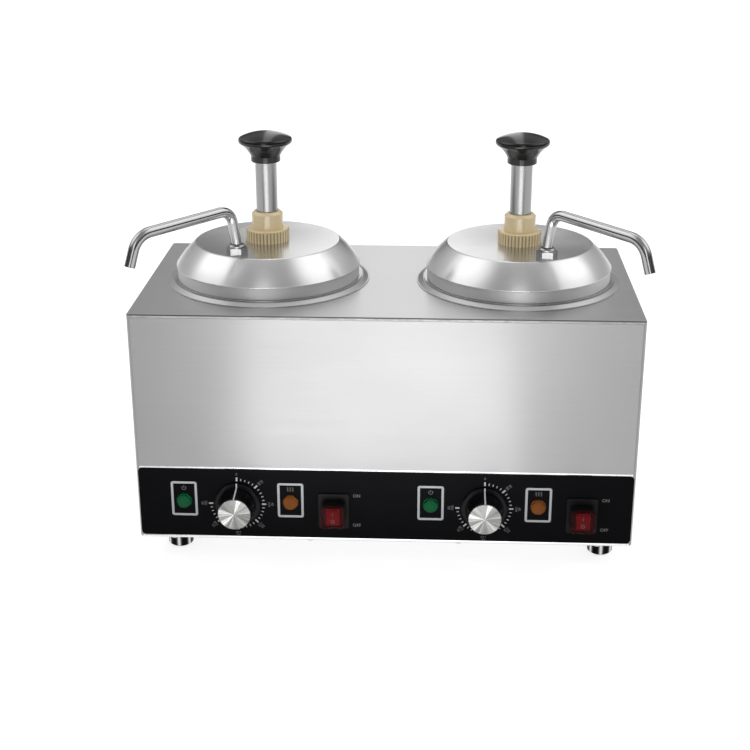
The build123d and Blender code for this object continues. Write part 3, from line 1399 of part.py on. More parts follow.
def make_gland():
    axis = Axis((GLAND_X, BACK, GLAND_Z), (0, 1, 0))
    nose_start = (GLAND_REACH - GLAND_NOSE_L, GLAND_DOME_R)
    nose_middle = (GLAND_REACH - GLAND_NOSE_EDGE, GLAND_DOME_R - GLAND_NOSE_EDGE)
    nose_end = (GLAND_REACH, GLAND_DOME_R - GLAND_NOSE_W)
    seal_r = GLAND_BORE_R + SEAL_LIP
    seal_back = GLAND_REACH - SEAL_L - SEAL_LIP
    with BuildPart() as gland:
        with BuildSketch(back_plane()):
            RegularPolygon(GLAND_FLATS / 2, 6, major_radius=False)
        extrude(amount=GLAND_HEX_T)
        with BuildSketch(back_section()):
            with BuildLine():
                Polyline(
                    (-SHEET - GLAND_INSIDE, 0),
                    (-SHEET - GLAND_INSIDE, GLAND_THREAD_R),
                    (0, GLAND_THREAD_R),
                    (GLAND_HEX_T, GLAND_THREAD_R),
                    (GLAND_HEX_T, GLAND_DOME_R),
                    nose_start,
                )
                ThreePointArc(nose_start, nose_middle, nose_end)
                Polyline(
                    nose_end,
                    (GLAND_REACH, 0),
                    (-SHEET - GLAND_INSIDE, 0),
                )
            make_face()
        revolve(axis=axis)
        with BuildSketch(back_plane(-SHEET - GLAND_INSIDE)):
            Circle(GLAND_BORE_R)
        extrude(amount=GLAND_REACH + SHEET + GLAND_INSIDE, mode=Mode.SUBTRACT)
        with BuildSketch(back_plane(seal_back)):
            Circle(seal_r)
        extrude(amount=SEAL_L, mode=Mode.SUBTRACT)
    gland.part.label = "cable_gland"
    export_step(gland.part, "parts/cable_gland.step")

    with BuildPart() as seal:
        with BuildSketch(back_plane(seal_back)):
            Circle(seal_r - SLIP)
            Circle(SEAL_BORE_R, mode=Mode.SUBTRACT)
        extrude(amount=SEAL_L)
    seal.part.label = "gland_seal"
    export_step(seal.part, "parts/gland_seal.step")

    with BuildPart() as nut:
        with BuildSketch(back_plane(-SHEET)):
            RegularPolygon(GLAND_FLATS / 2, 6, major_radius=False)
            Circle(GLAND_THREAD_R + SLIP, mode=Mode.SUBTRACT)
        extrude(amount=-GLAND_NUT_T)
    nut.part.label = "gland_nut"
    export_step(nut.part, "parts/gland_nut.step")


# ================================================================ terminal block and wiring
def terminal_place(way, row):
    """Mouth of a terminal: way from the left, row -1 at the front or 1 at the back."""
    pitch = BLOCK_W / BLOCK_WAYS
    x = (way - (BLOCK_WAYS - 1) / 2) * pitch
    return Vector(x, BLOCK_Y + row * BLOCK_D / 2, SHELL_BOTTOM + BLOCK_MOUTH_H)


def make_terminal_block():
    pitch = BLOCK_W / BLOCK_WAYS
    with BuildPart() as block:
        with Locations((0, BLOCK_Y, SHELL_BOTTOM)):
            Box(BLOCK_W, BLOCK_D, BLOCK_H, align=(Align.CENTER, Align.CENTER, Align.MIN))
        with Locations((0, BLOCK_Y, SHELL_BOTTOM + BLOCK_H)):
            with GridLocations(pitch, BLOCK_ROW_PITCH, BLOCK_WAYS, 2):
                Hole(BLOCK_WELL_R, depth=BLOCK_WELL_DEPTH)
        with Locations((0, BLOCK_Y, SHELL_BOTTOM + BLOCK_H)):
            with GridLocations(pitch, 1, BLOCK_WAYS - 1, 1):
                Box(
                    BLOCK_SLOT_W,
                    BLOCK_D,
                    BLOCK_SLOT_H,
                    align=(Align.CENTER, Align.CENTER, Align.MAX),
                    mode=Mode.SUBTRACT,
                )
    block.part.label = "terminal_block"
    export_step(block.part, "parts/terminal_block.step")


def live_lead(side, way):
    """Terminal to the switch's upper tab."""
    mouth = terminal_place(way, -1)
    x = switch_x(side) + TAB_SPREAD
    z = SWITCH_Z + TAB_RISE
    tab_y = FASCIA_FACE + SWITCH_BODY_L
    lane = mouth.Y - LANE_OUT
    route = [
        mouth,
        Vector(mouth.X, lane, mouth.Z),
        Vector(x, lane - LANE_SHIFT, WIRE_FLOOR + TAB_RISE),
        Vector(x, tab_y + TAB_LEAD, WIRE_FLOOR + TAB_RISE),
        Vector(x, tab_y + TAB_LEAD, z),
        Vector(x, tab_y, z),
    ]
    return tube_solid(route, WIRE_BEND, WIRE_R)


def switched_lead(side):
    """The switch's lower tab to the thermostat."""
    x = switch_x(side) - TAB_SPREAD
    tab_x = dial_x(side) + THERMO_TAB
    z = SWITCH_Z - TAB_RISE
    switch_back = FASCIA_FACE + SWITCH_BODY_L
    thermo_back = FASCIA_BACK + THERMO_D
    route = [
        Vector(x, switch_back, z),
        Vector(x, switch_back + TAB_LEAD, z),
        Vector(tab_x, thermo_back + TAB_LEAD, z),
        Vector(tab_x, thermo_back, z),
    ]
    return tube_solid(route, WIRE_BEND, WIRE_R)


def heating_lead(side):
    """Thermostat to the heater's left tail."""
    x = dial_x(side) - THERMO_TAB
    z = SWITCH_Z - THERMO_TAB_DROP
    thermo_back = FASCIA_BACK + THERMO_D
    tail = min(heater_pin_places(side), key=lambda p: p.X) - Vector(0, 0, HEATER_PIN_L)
    route = [
        Vector(x, thermo_back, z),
        Vector(x, thermo_back + TAB_LEAD, z),
        Vector(tail.X, tail.Y, tail.Z - TAB_LEAD),
        tail,
    ]
    return tube_solid(route, [WIRE_BEND, WIRE_END_BEND], WIRE_R)


def neutral_lead(side, way):
    """The heater's right tail back to the block."""
    mouth = terminal_place(way, -1)
    tail = max(heater_pin_places(side), key=lambda p: p.X) - Vector(0, 0, HEATER_PIN_L)
    low = WIRE_FLOOR + 1.0
    lane = mouth.Y - LANE_OUT
    route = [
        tail,
        Vector(tail.X, tail.Y, low + TAB_LEAD),
        Vector(tail.X, tail.Y + LANE_SHIFT, low),
        Vector(mouth.X, lane - LANE_OUT / 2, low),
        Vector(mouth.X, lane, mouth.Z),
        mouth,
    ]
    return tube_solid(route, [WIRE_END_BEND, WIRE_BEND, WIRE_BEND, WIRE_END_BEND], WIRE_R)


def make_wires():
    """Leads laid along the base, from the terminal block to each switch, thermostat and heater."""
    middle = BLOCK_WAYS // 2
    leads = []
    for side in SIDES.values():
        leads += [
            live_lead(side, middle + side),
            switched_lead(side),
            heating_lead(side),
            neutral_lead(side, middle + 2 * side),
        ]
    with BuildPart() as wires:
        add(leads)
    wires.part.label = "wiring"
    export_step(wires.part, "parts/wiring.step")


# ================================================================ build
make_deck()
make_shell()
make_base()
make_feet()
make_screws()
make_wells()
make_heaters()
make_clamps()
make_fascia()
make_thermostats()
make_capillaries()
make_clips()
make_lamps()
make_switch_frames()
make_covers()
make_gland()
make_terminal_block()
make_wires()

for side_name, side_sign in SIDES.items():
    make_pot(side_name, side_sign)
    make_lid(side_name, side_sign)
    make_collar(side_name, side_sign)
    make_cylinder(side_name, side_sign)
    make_valve_body(side_name, side_sign)
    make_riser(side_name, side_sign)
    make_ball(side_name, side_sign)
    make_plunger(side_name, side_sign)
    make_plunger_knob(side_name, side_sign)
    make_spring(side_name, side_sign)
    make_spout(side_name, side_sign)
    make_nut(side_name, side_sign)
    make_spindle(side_name, side_sign)
    make_dial(side_name, side_sign)
    make_rocker(side_name, side_sign)
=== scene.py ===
"""Looks for a two-well heated topping dispenser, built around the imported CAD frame.

Metres; +Z up, front is -Y.
"""

import math

import bpy
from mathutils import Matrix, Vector


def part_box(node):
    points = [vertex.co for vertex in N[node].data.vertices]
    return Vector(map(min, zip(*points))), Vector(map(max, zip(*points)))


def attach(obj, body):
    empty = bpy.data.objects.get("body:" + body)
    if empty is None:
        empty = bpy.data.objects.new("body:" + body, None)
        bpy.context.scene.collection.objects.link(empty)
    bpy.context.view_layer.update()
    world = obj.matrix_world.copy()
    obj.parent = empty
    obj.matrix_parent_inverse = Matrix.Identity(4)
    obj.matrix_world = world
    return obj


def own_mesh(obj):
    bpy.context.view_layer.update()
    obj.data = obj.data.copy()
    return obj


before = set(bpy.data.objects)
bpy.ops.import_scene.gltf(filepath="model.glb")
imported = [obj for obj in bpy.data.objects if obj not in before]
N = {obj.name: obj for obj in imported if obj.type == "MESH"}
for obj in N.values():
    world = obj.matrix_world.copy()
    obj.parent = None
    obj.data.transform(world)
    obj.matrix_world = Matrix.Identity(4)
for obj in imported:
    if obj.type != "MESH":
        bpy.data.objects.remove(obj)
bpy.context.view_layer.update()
SIDES = ("left", "right")

# ---------------------------------------------------------------- sizes, in metres
CASE_FRONT = -0.118
DECK_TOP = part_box("top_deck")[1].z
DECK_LIP = 0.003  # how far the deck's edge turns down over the shell
SHOULDER_Z = DECK_TOP + 0.0161  # lower edge of a lid's shoulder, above its skirt
LID_FLAT_R = 0.0686  # flat disc on top of a lid
COLLAR_GROOVE = 0.0008  # depth of the flutes round a locking collar
FOOT_MIDDLE = (0.0035, 0, 0)  # the four feet stand in a rectangle round this point
FOOT_REACH = (0.2022, 0.0885, 0)

FACE = -0.1177  # fascia's face
PROUD = 0.00006  # printing stands this far off what it is printed on
DIAL_Z = 0.0568
LAMP_Z = 0.0595
SWITCH_Z = 0.0518
LAMP_PITCH = 0.050  # lamps either side of their dial
SWITCH_PITCH = 0.0905  # switch to the right of its dial
WORDS_PITCH = 0.112  # ON and OFF to the right of their dial


def centre(name):
    lo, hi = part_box(name)
    return (lo + hi) / 2


# ---------------------------------------------------------------- node helpers; m is a material or the world
def node(m, kind, **settings):
    n = m.node_tree.nodes.new(kind)
    for k, v in settings.items():
        setattr(n, k, v)
    return n


def link(m, a, b):
    m.node_tree.links.new(a, b)


def bsdf(m):
    return m.node_tree.nodes["Principled BSDF"]


def math_node(m, op, *values):
    n = node(m, "ShaderNodeMath", operation=op)
    for i, v in enumerate(values):
        if isinstance(v, (int, float)):
            n.inputs[i].default_value = v
        else:
            link(m, v, n.inputs[i])
    return n.outputs[0]


def vector_node(m, op, vector, constant=None):
    n = node(m, "ShaderNodeVectorMath", operation=op)
    link(m, vector, n.inputs[0])
    if constant is not None:
        n.inputs[1].default_value = constant
    return n.outputs["Value" if op in ("LENGTH", "DOT_PRODUCT") else "Vector"]


def between(m, value, start, end, low, high, kind="LINEAR"):
    """Goes from low to high as value goes from start to end."""
    r = node(m, "ShaderNodeMapRange", interpolation_type=kind)
    for k, v in (("From Min", start), ("From Max", end), ("To Min", low), ("To Max", high)):
        r.inputs[k].default_value = v
    link(m, value, r.inputs["Value"])
    return r.outputs["Result"]


def spread(m, fac, low, high):
    """Maps a noise value, which keeps near a half, to a number between low and high."""
    return between(m, fac, 0.3, 0.7, low, high)


def ramp(m, fac, stops):
    r = node(m, "ShaderNodeValToRGB")
    els = r.color_ramp.elements
    while len(els) < len(stops):
        els.new(0.5)
    for e, (p, c) in zip(els, stops):
        e.position = p
        e.color = (*c, 1)
    link(m, fac, r.inputs["Fac"])
    return r.outputs["Color"]


def place(m):
    """Position on the piece. CAD nodes sit at the origin, so it is also the place on the part."""
    return node(m, "ShaderNodeTexCoord").outputs["Object"]


def axes(m, vector):
    sep = node(m, "ShaderNodeSeparateXYZ")
    link(m, vector, sep.inputs[0])
    return sep.outputs


def coords(m, scale):
    """Position on the piece, stretched by scale."""
    mp = node(m, "ShaderNodeMapping")
    mp.inputs["Scale"].default_value = scale
    link(m, place(m), mp.inputs["Vector"])
    return mp.outputs["Vector"]


def noise(m, vector, scale=1.0, detail=3.0):
    n = node(m, "ShaderNodeTexNoise")
    n.inputs["Scale"].default_value = scale
    n.inputs["Detail"].default_value = detail
    link(m, vector, n.inputs["Vector"])
    return n.outputs["Fac"]


def ring_noise(m, length, rings, detail):
    """Noise that changes with the distance from an axis only, with so many rings a metre."""
    n = node(m, "ShaderNodeTexNoise", noise_dimensions="1D")
    n.inputs["Detail"].default_value = detail
    link(m, math_node(m, "MULTIPLY", length, rings), n.inputs["W"])
    return n.outputs["Fac"]


def spokes(m, vector, scale, detail):
    """Noise that changes with the angle round an axis and not with the distance from it."""
    return noise(m, vector_node(m, "NORMALIZE", vector), scale, detail)


def radial(m, middle, mask):
    """Vector from an axis to the point, and its length; mask drops the direction along the axis."""
    vector = vector_node(m, "MULTIPLY", vector_node(m, "SUBTRACT", place(m), middle), mask)
    return vector, vector_node(m, "LENGTH", vector)


def grey(v):
    return (v, v, v)


def tint(c, k):
    return tuple(min(1.0, v * k) for v in c)


# ---------------------------------------------------------------- what nodes do to a surface
def shader(name, color, rough, metal, **sockets):
    """A Principled material; values that are the same all over go straight on the sockets."""
    m = bpy.data.materials.new(name)
    m.use_nodes = True
    b = bsdf(m)
    b.inputs["Base Color"].default_value = (*color, 1)
    b.inputs["Roughness"].default_value = rough
    b.inputs["Metallic"].default_value = metal
    for k, v in sockets.items():
        b.inputs[k.replace("_", " ")].default_value = v
    return m


def colored(m, color):
    link(m, color, bsdf(m).inputs["Base Color"])


def roughened(m, rough):
    link(m, rough, bsdf(m).inputs["Roughness"])


def vary(m, fac, color, amount):
    """Base colour drifts lighter and darker with fac."""
    colored(m, ramp(m, fac, [(0.3, tint(color, 1 - amount)), (0.7, tint(color, 1 + amount))]))


def shade(m, factor):
    """Multiplies the base colour by a number that changes over the surface."""
    scale = node(m, "ShaderNodeVectorMath", operation="SCALE")
    link(m, bsdf(m).inputs["Base Color"].links[0].from_socket, scale.inputs[0])
    link(m, factor, scale.inputs["Scale"])
    colored(m, scale.outputs[0])


def rougher(m, factor):
    """Multiplies the roughness by a number that changes over the surface."""
    rough = bsdf(m).inputs["Roughness"].links[0].from_socket
    roughened(m, math_node(m, "MULTIPLY", rough, factor))


def bump(m, relief, strength, distance):
    b = node(m, "ShaderNodeBump")
    b.inputs["Strength"].default_value = strength
    b.inputs["Distance"].default_value = distance
    link(m, relief, b.inputs["Height"])
    link(m, b.outputs["Normal"], bsdf(m).inputs["Normal"])


def tangent_along(m, direction):
    t = node(m, "ShaderNodeCombineXYZ")
    for i, v in enumerate(direction):
        t.inputs[i].default_value = v
    link(m, t.outputs[0], bsdf(m).inputs["Tangent"])


def tangent_around(m, vector, axis):
    """Tangent that runs round the axis, from the vector that points away from it."""
    link(m, vector_node(m, "CROSS_PRODUCT", vector, axis), bsdf(m).inputs["Tangent"])


# ---------------------------------------------------------------- materials
STEEL = (0.52, 0.52, 0.525)
RINGS = 450  # turned rings a metre on lids and pots
FLAT_POLISH = 0.76  # roughness of a flat turned centre, as a share of the rest
SKIRT_ROUGH = 2.0  # roughness of a lid's skirt, as a share of the rest
CAP_GROOVES = 5200  # grooves a metre on a dial's cap
CUP_REFLECTION_COUNT = 7  # bands of painted reflection, light and dark, round a foot
LENS_WAVE = 1450  # radians a metre across a lamp lens's prisms


def brushed(name, color, rough, aniso, grain, tangent):
    """Sheet with a brushed grain: long streaks in one direction, highlights drawn out across them."""
    m = shader(name, color, rough, 1.0, Anisotropic=aniso)
    streaks = noise(m, coords(m, grain), detail=4)
    clouds = noise(m, coords(m, (9, 9, 9)), detail=2)
    vary(m, streaks, color, 0.035)
    mixed = math_node(m, "ADD", math_node(m, "MULTIPLY", streaks, 0.7), math_node(m, "MULTIPLY", clouds, 0.3))
    roughened(m, spread(m, mixed, rough * 0.92, rough * 1.08))
    bump(m, streaks, 0.04, 0.0002)
    tangent_along(m, tangent)
    return m


def painted_fold_shade(m, lip_z, flat_z):
    """Painted shade: the sheet's colour is darkened down its lip and in the fold above it."""
    stops = [(0.0, grey(0.60)), (0.48, grey(0.55)), (0.60, grey(0.20)), (0.86, grey(0.20)), (0.98, grey(1.0))]
    shade(m, ramp(m, between(m, axes(m, place(m))["Z"], lip_z, flat_z, 0, 1), stops))
    return m


def spun(name, color, rough, aniso, middle, flat_r=0.0):
    """Turned metal: fine rings round an upright axis, brighter polish inside flat_r."""
    m = shader(name, color, rough, 1.0, Anisotropic=aniso, Anisotropic_Rotation=0.25)
    vector, length = radial(m, middle, (1, 1, 0))
    tangent_around(m, vector, (0, 0, 1))
    rings = ring_noise(m, length, RINGS, 2)
    clouds = noise(m, coords(m, (30, 30, 30)), detail=2)
    vary(m, rings, color, 0.03)
    polish = between(m, length, flat_r - 0.001, flat_r + 0.001, FLAT_POLISH, 1.0)
    roughened(m, math_node(m, "MULTIPLY", spread(m, clouds, rough * 0.9, rough * 1.1), polish))
    bump(m, rings, 0.03, 0.0002)
    return m


def painted_glint_disc(name, stops, rough, middle):
    """Turned aluminium disc facing the front: fine grooves, and painted highlights as spokes of light and
    dark in the base colour.
    """
    m = shader(name, stops[0][1], rough, 1.0, Anisotropic=0.9, Anisotropic_Rotation=0.25)
    vector, length = radial(m, middle, (1, 0, 1))
    tangent_around(m, vector, (0, 1, 0))
    # painted highlights: the base colour goes light and dark in spokes round the axis
    colored(m, ramp(m, spokes(m, vector, 2.6, 6), stops))
    bump(m, ring_noise(m, length, CAP_GROOVES, 3), 0.25, 0.0002)
    return m


def painted_reflection_cups(name, stops, rough, middle, reach):
    """Plated cups, four in a rectangle round middle, with painted reflections: upright bands of light and
    dark round each.
    """
    m = shader(name, stops[0][1], rough, 1.0)
    vector, _ = radial(m, middle, (1, 1, 0))
    local = axes(m, vector_node(m, "SUBTRACT", vector_node(m, "ABSOLUTE", vector), reach))
    angle = math_node(m, "ARCTAN2", local["X"], local["Y"])
    wave = math_node(m, "COSINE", math_node(m, "MULTIPLY", angle, CUP_REFLECTION_COUNT))
    colored(m, ramp(m, math_node(m, "MULTIPLY_ADD", wave, 0.5, 0.5), stops))
    return m


def polished(name, color, rough, wear=1.0):
    """Bright tube or plated steel with hairline wear."""
    m = shader(name, color, rough, 1.0)
    lines = noise(m, coords(m, (500, 500, 60)), detail=3)
    vary(m, lines, color, 0.04 * wear)
    roughened(m, spread(m, lines, rough * (1 - 0.2 * wear), rough * (1 + 0.3 * wear)))
    bump(m, lines, 0.02 * wear, 0.0001)
    return m


def moulded(name, color, rough, grain=2600.0, depth=0.05, amount=0.08, gloss=0.5, **sockets):
    """Moulded plastic or rubber with a fine surface grain and faint handling marks."""
    m = shader(name, color, rough, 0.0, Specular_IOR_Level=gloss, **sockets)
    fine = noise(m, coords(m, (grain, grain, grain)), detail=2)
    broad = noise(m, coords(m, (60, 60, 60)), detail=4)
    vary(m, broad, color, amount)
    roughened(m, spread(m, broad, rough * 0.88, rough * 1.12))
    bump(m, fine, depth, 0.0001)
    return m


def fluted_painted_shade(name, color, rough, middle, rim_r, depth):
    """Moulded plastic with painted shade down in the grooves of a rim of radius rim_r, and a faint painted
    highlight on the ridge tops.
    """
    m = moulded(name, color, rough, 1500, 0.02, 0.05)
    _, length = radial(m, middle, (1, 1, 0))
    # painted shade in the grooves, and a faint painted highlight where the ridges stand out
    stops = [(0.0, color), (0.30, tint(color, 0.48)), (0.60, tint(color, 0.60)), (0.90, tint(color, 1.08))]
    colored(m, ramp(m, between(m, length, rim_r - depth, rim_r, 0, 1), stops))
    return m


def lens(name, deep, bright):
    """Ribbed translucent lamp lens: a diagonal lattice of prisms, with painted highlights along the prisms
    over a darker body.
    """
    m = shader(name, deep, 0.20, 0.0, Specular_IOR_Level=0.12)
    at = axes(m, place(m))
    up = math_node(m, "SUBTRACT", at["Z"], LAMP_Z)
    ridges = []
    for sign in (1, -1):
        across = math_node(m, "ADD", at["X"], math_node(m, "MULTIPLY", up, sign))
        wave = math_node(m, "SINE", math_node(m, "MULTIPLY", across, LENS_WAVE))
        ridges.append(math_node(m, "ABSOLUTE", wave))
    lattice = math_node(m, "MULTIPLY", *ridges)
    # painted highlights: the base colour is bright along the prism lattice and dark between
    colored(m, ramp(m, lattice, [(0.30, deep), (0.95, bright)]))
    bump(m, lattice, 0.9, 0.0006)
    return m


M = {
    "shell": brushed("satin_sheet", STEEL, 0.48, 1.0, (12, 12, 2200), (0, 0, 1)),
    "base": brushed("satin_deck", STEEL, 0.36, 0.8, (12, 2200, 12), (0, 1, 0)),
    "deck": brushed("deck_painted_fold_shade", STEEL, 0.36, 0.8, (12, 2200, 12), (0, 1, 0)),
    "well": brushed("drawn_well", grey(0.50), 0.40, 0.3, (60, 60, 900), (0, 0, 1)),
    "hem": polished("bright_hem", grey(0.86), 0.12),
    "chrome": polished("bright_steel", grey(0.42), 0.16),
    "tube": polished("satin_tube", grey(0.33), 0.30, 0.2),
    "nut": polished("turned_nut", grey(0.27), 0.22),
    "fixing": polished("zinc_steel", (0.55, 0.55, 0.56), 0.30),
    "heater": polished("element_sheath", (0.30, 0.27, 0.25), 0.38),
    "copper": polished("drawn_copper", (0.72, 0.38, 0.22), 0.28),
    "fascia": moulded("black_film", (0.0045, 0.0045, 0.0055), 0.42, 1800, 0.05, 0.12, 0.03),
    "knob": moulded("polished_black", (0.004, 0.004, 0.0055), 0.10, 2000, 0.01, 0.10, 0.4),
    "black": moulded("black_moulding", (0.004, 0.004, 0.005), 0.26, 2000, 0.03, 0.10, 0.15),
    "black_satin": moulded("black_satin_moulding", (0.006, 0.006, 0.007), 0.38, 2600, 0.10, 0.12, 0.12),
    "rubber": moulded("pad_rubber", grey(0.022), 0.75, 1500, 0.25),
    "nylon": moulded("natural_nylon", (0.78, 0.75, 0.66), 0.42, 1500, 0.06, 0.04),
    "terminal": moulded("terminal_moulding", (0.70, 0.68, 0.60), 0.45),
    "case": moulded("thermostat_moulding", (0.05, 0.045, 0.04), 0.5),
    "sleeve": moulded("wire_sleeving", (0.50, 0.47, 0.40), 0.7, 900, 0.4),
    "rocker": moulded("rocker_red", (0.72, 0.010, 0.016), 0.28, 1800, 0.03, 0.08, 0.2),
    "cover": moulded("splash_cover_red", (0.060, 0.004, 0.005), 0.16, 1600, 0.04, 0.1, 0.12, Alpha=0.36),
    "ink": moulded("printed_white", (0.60, 0.62, 0.63), 0.6, 1500, 0.02, 0.06, 0.1),
    "ink_dim": moulded("printed_grey", (0.20, 0.20, 0.205), 0.6, 1500, 0.02, 0.10, 0.1),
    "line": moulded("pointer_white", (0.72, 0.73, 0.74), 0.5, 1500, 0.02, 0.05),
    "power": lens("power_lens", (0.001, 0.006, 0.003), (0.010, 0.46, 0.15)),
    "heating": lens("heating_lens", (0.016, 0.003, 0.001), (1.0, 0.33, 0.06)),
}
# painted reflection: the dark and light tones of the bands round a foot
CUP_REFLECTION_BANDS = [(0.25, grey(0.004)), (0.55, grey(0.02)), (0.80, grey(0.16)), (1.0, grey(0.70))]
# painted highlights: the tones of the light and dark spokes on a dial's cap
CAP_PAINTED_GLINTS = [(0.38, (0.17, 0.17, 0.165)), (0.52, (0.28, 0.28, 0.27)), (0.62, (0.58, 0.58, 0.56))]
COLLAR_TAN = (0.82, 0.67, 0.41)


def paint(names, material):
    """Each CAD node named keeps its shape and gets a finished material."""
    for name in names.split():
        materials = N[name].data.materials
        materials.clear()
        materials.append(material)


def paint_both(names, material):
    for side in SIDES:
        for name in names.split():
            paint(f"{side}_{name}", material)


paint("body_shell", M["shell"])
paint("base_plate", M["base"])
# painted shade on the deck's lip and front fold, darker than the flat top
paint("top_deck", painted_fold_shade(M["deck"], DECK_TOP - DECK_LIP, DECK_TOP))
paint("wells", M["well"])
# the feet's base colour carries painted reflections, upright light and dark bands
paint("foot_cups", painted_reflection_cups("plated_cup_painted_reflection", CUP_REFLECTION_BANDS, 0.10, FOOT_MIDDLE, FOOT_REACH))
paint("foot_pads gland_seal", M["rubber"])
paint("case_screws heater_clamps clamp_nuts bulb_clips", M["fixing"])
paint("heaters", M["heater"])
paint("thermostat_bulbs", M["copper"])
paint("thermostats", M["case"])
paint("lamp_bodies", M["black"])
paint("power_lamp_lenses", M["power"])
paint("heating_lamp_lenses", M["heating"])
paint("control_fascia", M["fascia"])
paint("switch_frames cable_gland gland_nut", M["black_satin"])
paint("switch_covers", M["cover"])
paint("terminal_block", M["terminal"])
paint("wiring", M["sleeve"])
paint_both("spout riser_tube inlet_ball", M["chrome"])
paint_both("spout_nut", M["nut"])
paint_both("plunger_tube", M["tube"])
paint_both("valve_body piston", M["nylon"])
paint_both("piston_seal", M["rubber"])
paint_both("plunger_knob", M["knob"])
paint_both("control_knob", M["black"])
paint_both("thermostat_spindle return_spring", M["fixing"])
paint_both("rocker", M["rocker"])

# each station's turned pieces and its collar's flutes, whose patterns run round that piece's own axis; the
# collar's grooves get painted shade
for side in SIDES:
    middle = centre(f"{side}_lid")
    lid_metal = spun(f"{side}_spun_lid", grey(0.66), 0.30, 0.75, (middle.x, middle.y, 0), LID_FLAT_R)
    height = axes(lid_metal, place(lid_metal))["Z"]
    rougher(lid_metal, between(lid_metal, height, SHOULDER_Z - 0.0004, SHOULDER_Z, SKIRT_ROUGH, 1.0))
    paint(f"{side}_lid", lid_metal)
    pot_metal = spun(f"{side}_spun_pot", grey(0.56), 0.30, 0.6, (middle.x, middle.y, 0))
    paint(f"{side}_pot {side}_pump_cylinder", pot_metal)
    lo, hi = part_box(f"{side}_locking_collar")
    rim_r = (hi.x - lo.x) / 2
    collar_tan = fluted_painted_shade(f"{side}_tan_moulding", COLLAR_TAN, 0.14, (lo + hi) / 2, rim_r, COLLAR_GROOVE)
    paint(f"{side}_locking_collar", collar_tan)
    cap = centre(f"{side}_knob_cap")
    paint(f"{side}_knob_cap", painted_glint_disc(f"{side}_spun_cap_painted_glints", CAP_PAINTED_GLINTS, 0.26, (cap.x, 0, cap.z)))


# ---------------------------------------------------------------- geometry helpers
def add_mesh(name, verts, faces, body, material, smooth=False):
    me = bpy.data.meshes.new(name)
    me.from_pydata(verts, [], faces)
    me.update()
    me.materials.append(material)
    ob = bpy.data.objects.new(name, me)
    bpy.context.scene.collection.objects.link(ob)
    for p in me.polygons:
        p.use_smooth = smooth
    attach(ob, body)


def ladder(rungs):
    """Faces of a strip whose vertices come in pairs, one pair a rung."""
    return [(a, a + 1, a + 3, a + 2) for a in range(0, 2 * rungs - 2, 2)]


class Print:
    """Flat printing gathered into one mesh: lines and lettering on a plane facing the front."""

    def __init__(self, y):
        self.verts, self.faces, self.y = [], [], y

    def face(self, corners):
        k = len(self.verts)
        self.verts += [(x, self.y, z) for x, z in corners]
        self.faces.append(tuple(range(k, k + len(corners))))

    def ribbon(self, pts, width, closed=False):
        """Line of one width through the points, mitred at each."""
        pts = [Vector(p) for p in pts]
        n = len(pts)
        none = Vector((0, 0))
        edges = []
        for i, p in enumerate(pts):
            before = p - pts[i - 1] if closed or i else none
            after = pts[(i + 1) % n] - p if closed or i < n - 1 else none
            d0 = (before if before.length else after).normalized()
            d1 = after.normalized() if after.length else d0
            n0, n1 = Vector((-d0.y, d0.x)), Vector((-d1.y, d1.x))
            mid = (n0 + n1).normalized()
            off = mid * (width / 2 / max(0.3, mid.dot(n0)))
            edges.append((p + off, p - off))
        for i in range(n if closed else n - 1):
            (a, b), (c, d) = edges[i], edges[(i + 1) % n]
            self.face([a, b, d, c])

    def arc(self, x, z, r, start, end, width, steps=24):
        """Angles in degrees, clockwise from the top."""
        turns = [math.radians(start + (end - start) * i / steps) for i in range(steps + 1)]
        self.ribbon([(x + r * math.sin(a), z + r * math.cos(a)) for a in turns], width)

    def frame(self, x, z, w, h, r, width):
        """Rectangle w by h with corners of radius r."""
        pts = []
        for right, up, start in ((1, 1, 0), (1, -1, 90), (-1, -1, 180), (-1, 1, 270)):
            corner_x, corner_z = x + right * (w / 2 - r), z + up * (h / 2 - r)
            for i in range(7):
                a = math.radians(start + 15 * i)
                pts.append((corner_x + r * math.sin(a), corner_z + r * math.cos(a)))
        self.ribbon(pts, width, closed=True)

    def text(self, words, x, z, size, turn=0.0, weight=0.0):
        """Lettering centred on x, z and turned clockwise by so many degrees."""
        cu = bpy.data.curves.new("lettering", "FONT")
        cu.body, cu.size, cu.align_x, cu.align_y, cu.offset = words, size, "CENTER", "CENTER", weight
        cu.resolution_u = 3
        cu.space_line = 0.85
        ob = bpy.data.objects.new("lettering", cu)
        bpy.context.scene.collection.objects.link(ob)
        bpy.context.view_layer.update()
        me = bpy.data.meshes.new_from_object(ob.evaluated_get(bpy.context.evaluated_depsgraph_get()))
        ca, sa = math.cos(-math.radians(turn)), math.sin(-math.radians(turn))
        k = len(self.verts)
        flat = [v.co for v in me.vertices]
        self.verts += [(x + p.x * ca - p.y * sa, self.y, z + p.x * sa + p.y * ca) for p in flat]
        self.faces += [tuple(k + i for i in p.vertices) for p in me.polygons]
        bpy.data.objects.remove(ob)
        bpy.data.curves.remove(cu)
        bpy.data.meshes.remove(me)

    def make(self, name, body, material, slot):
        add_mesh(name, self.verts, self.faces, body, material)


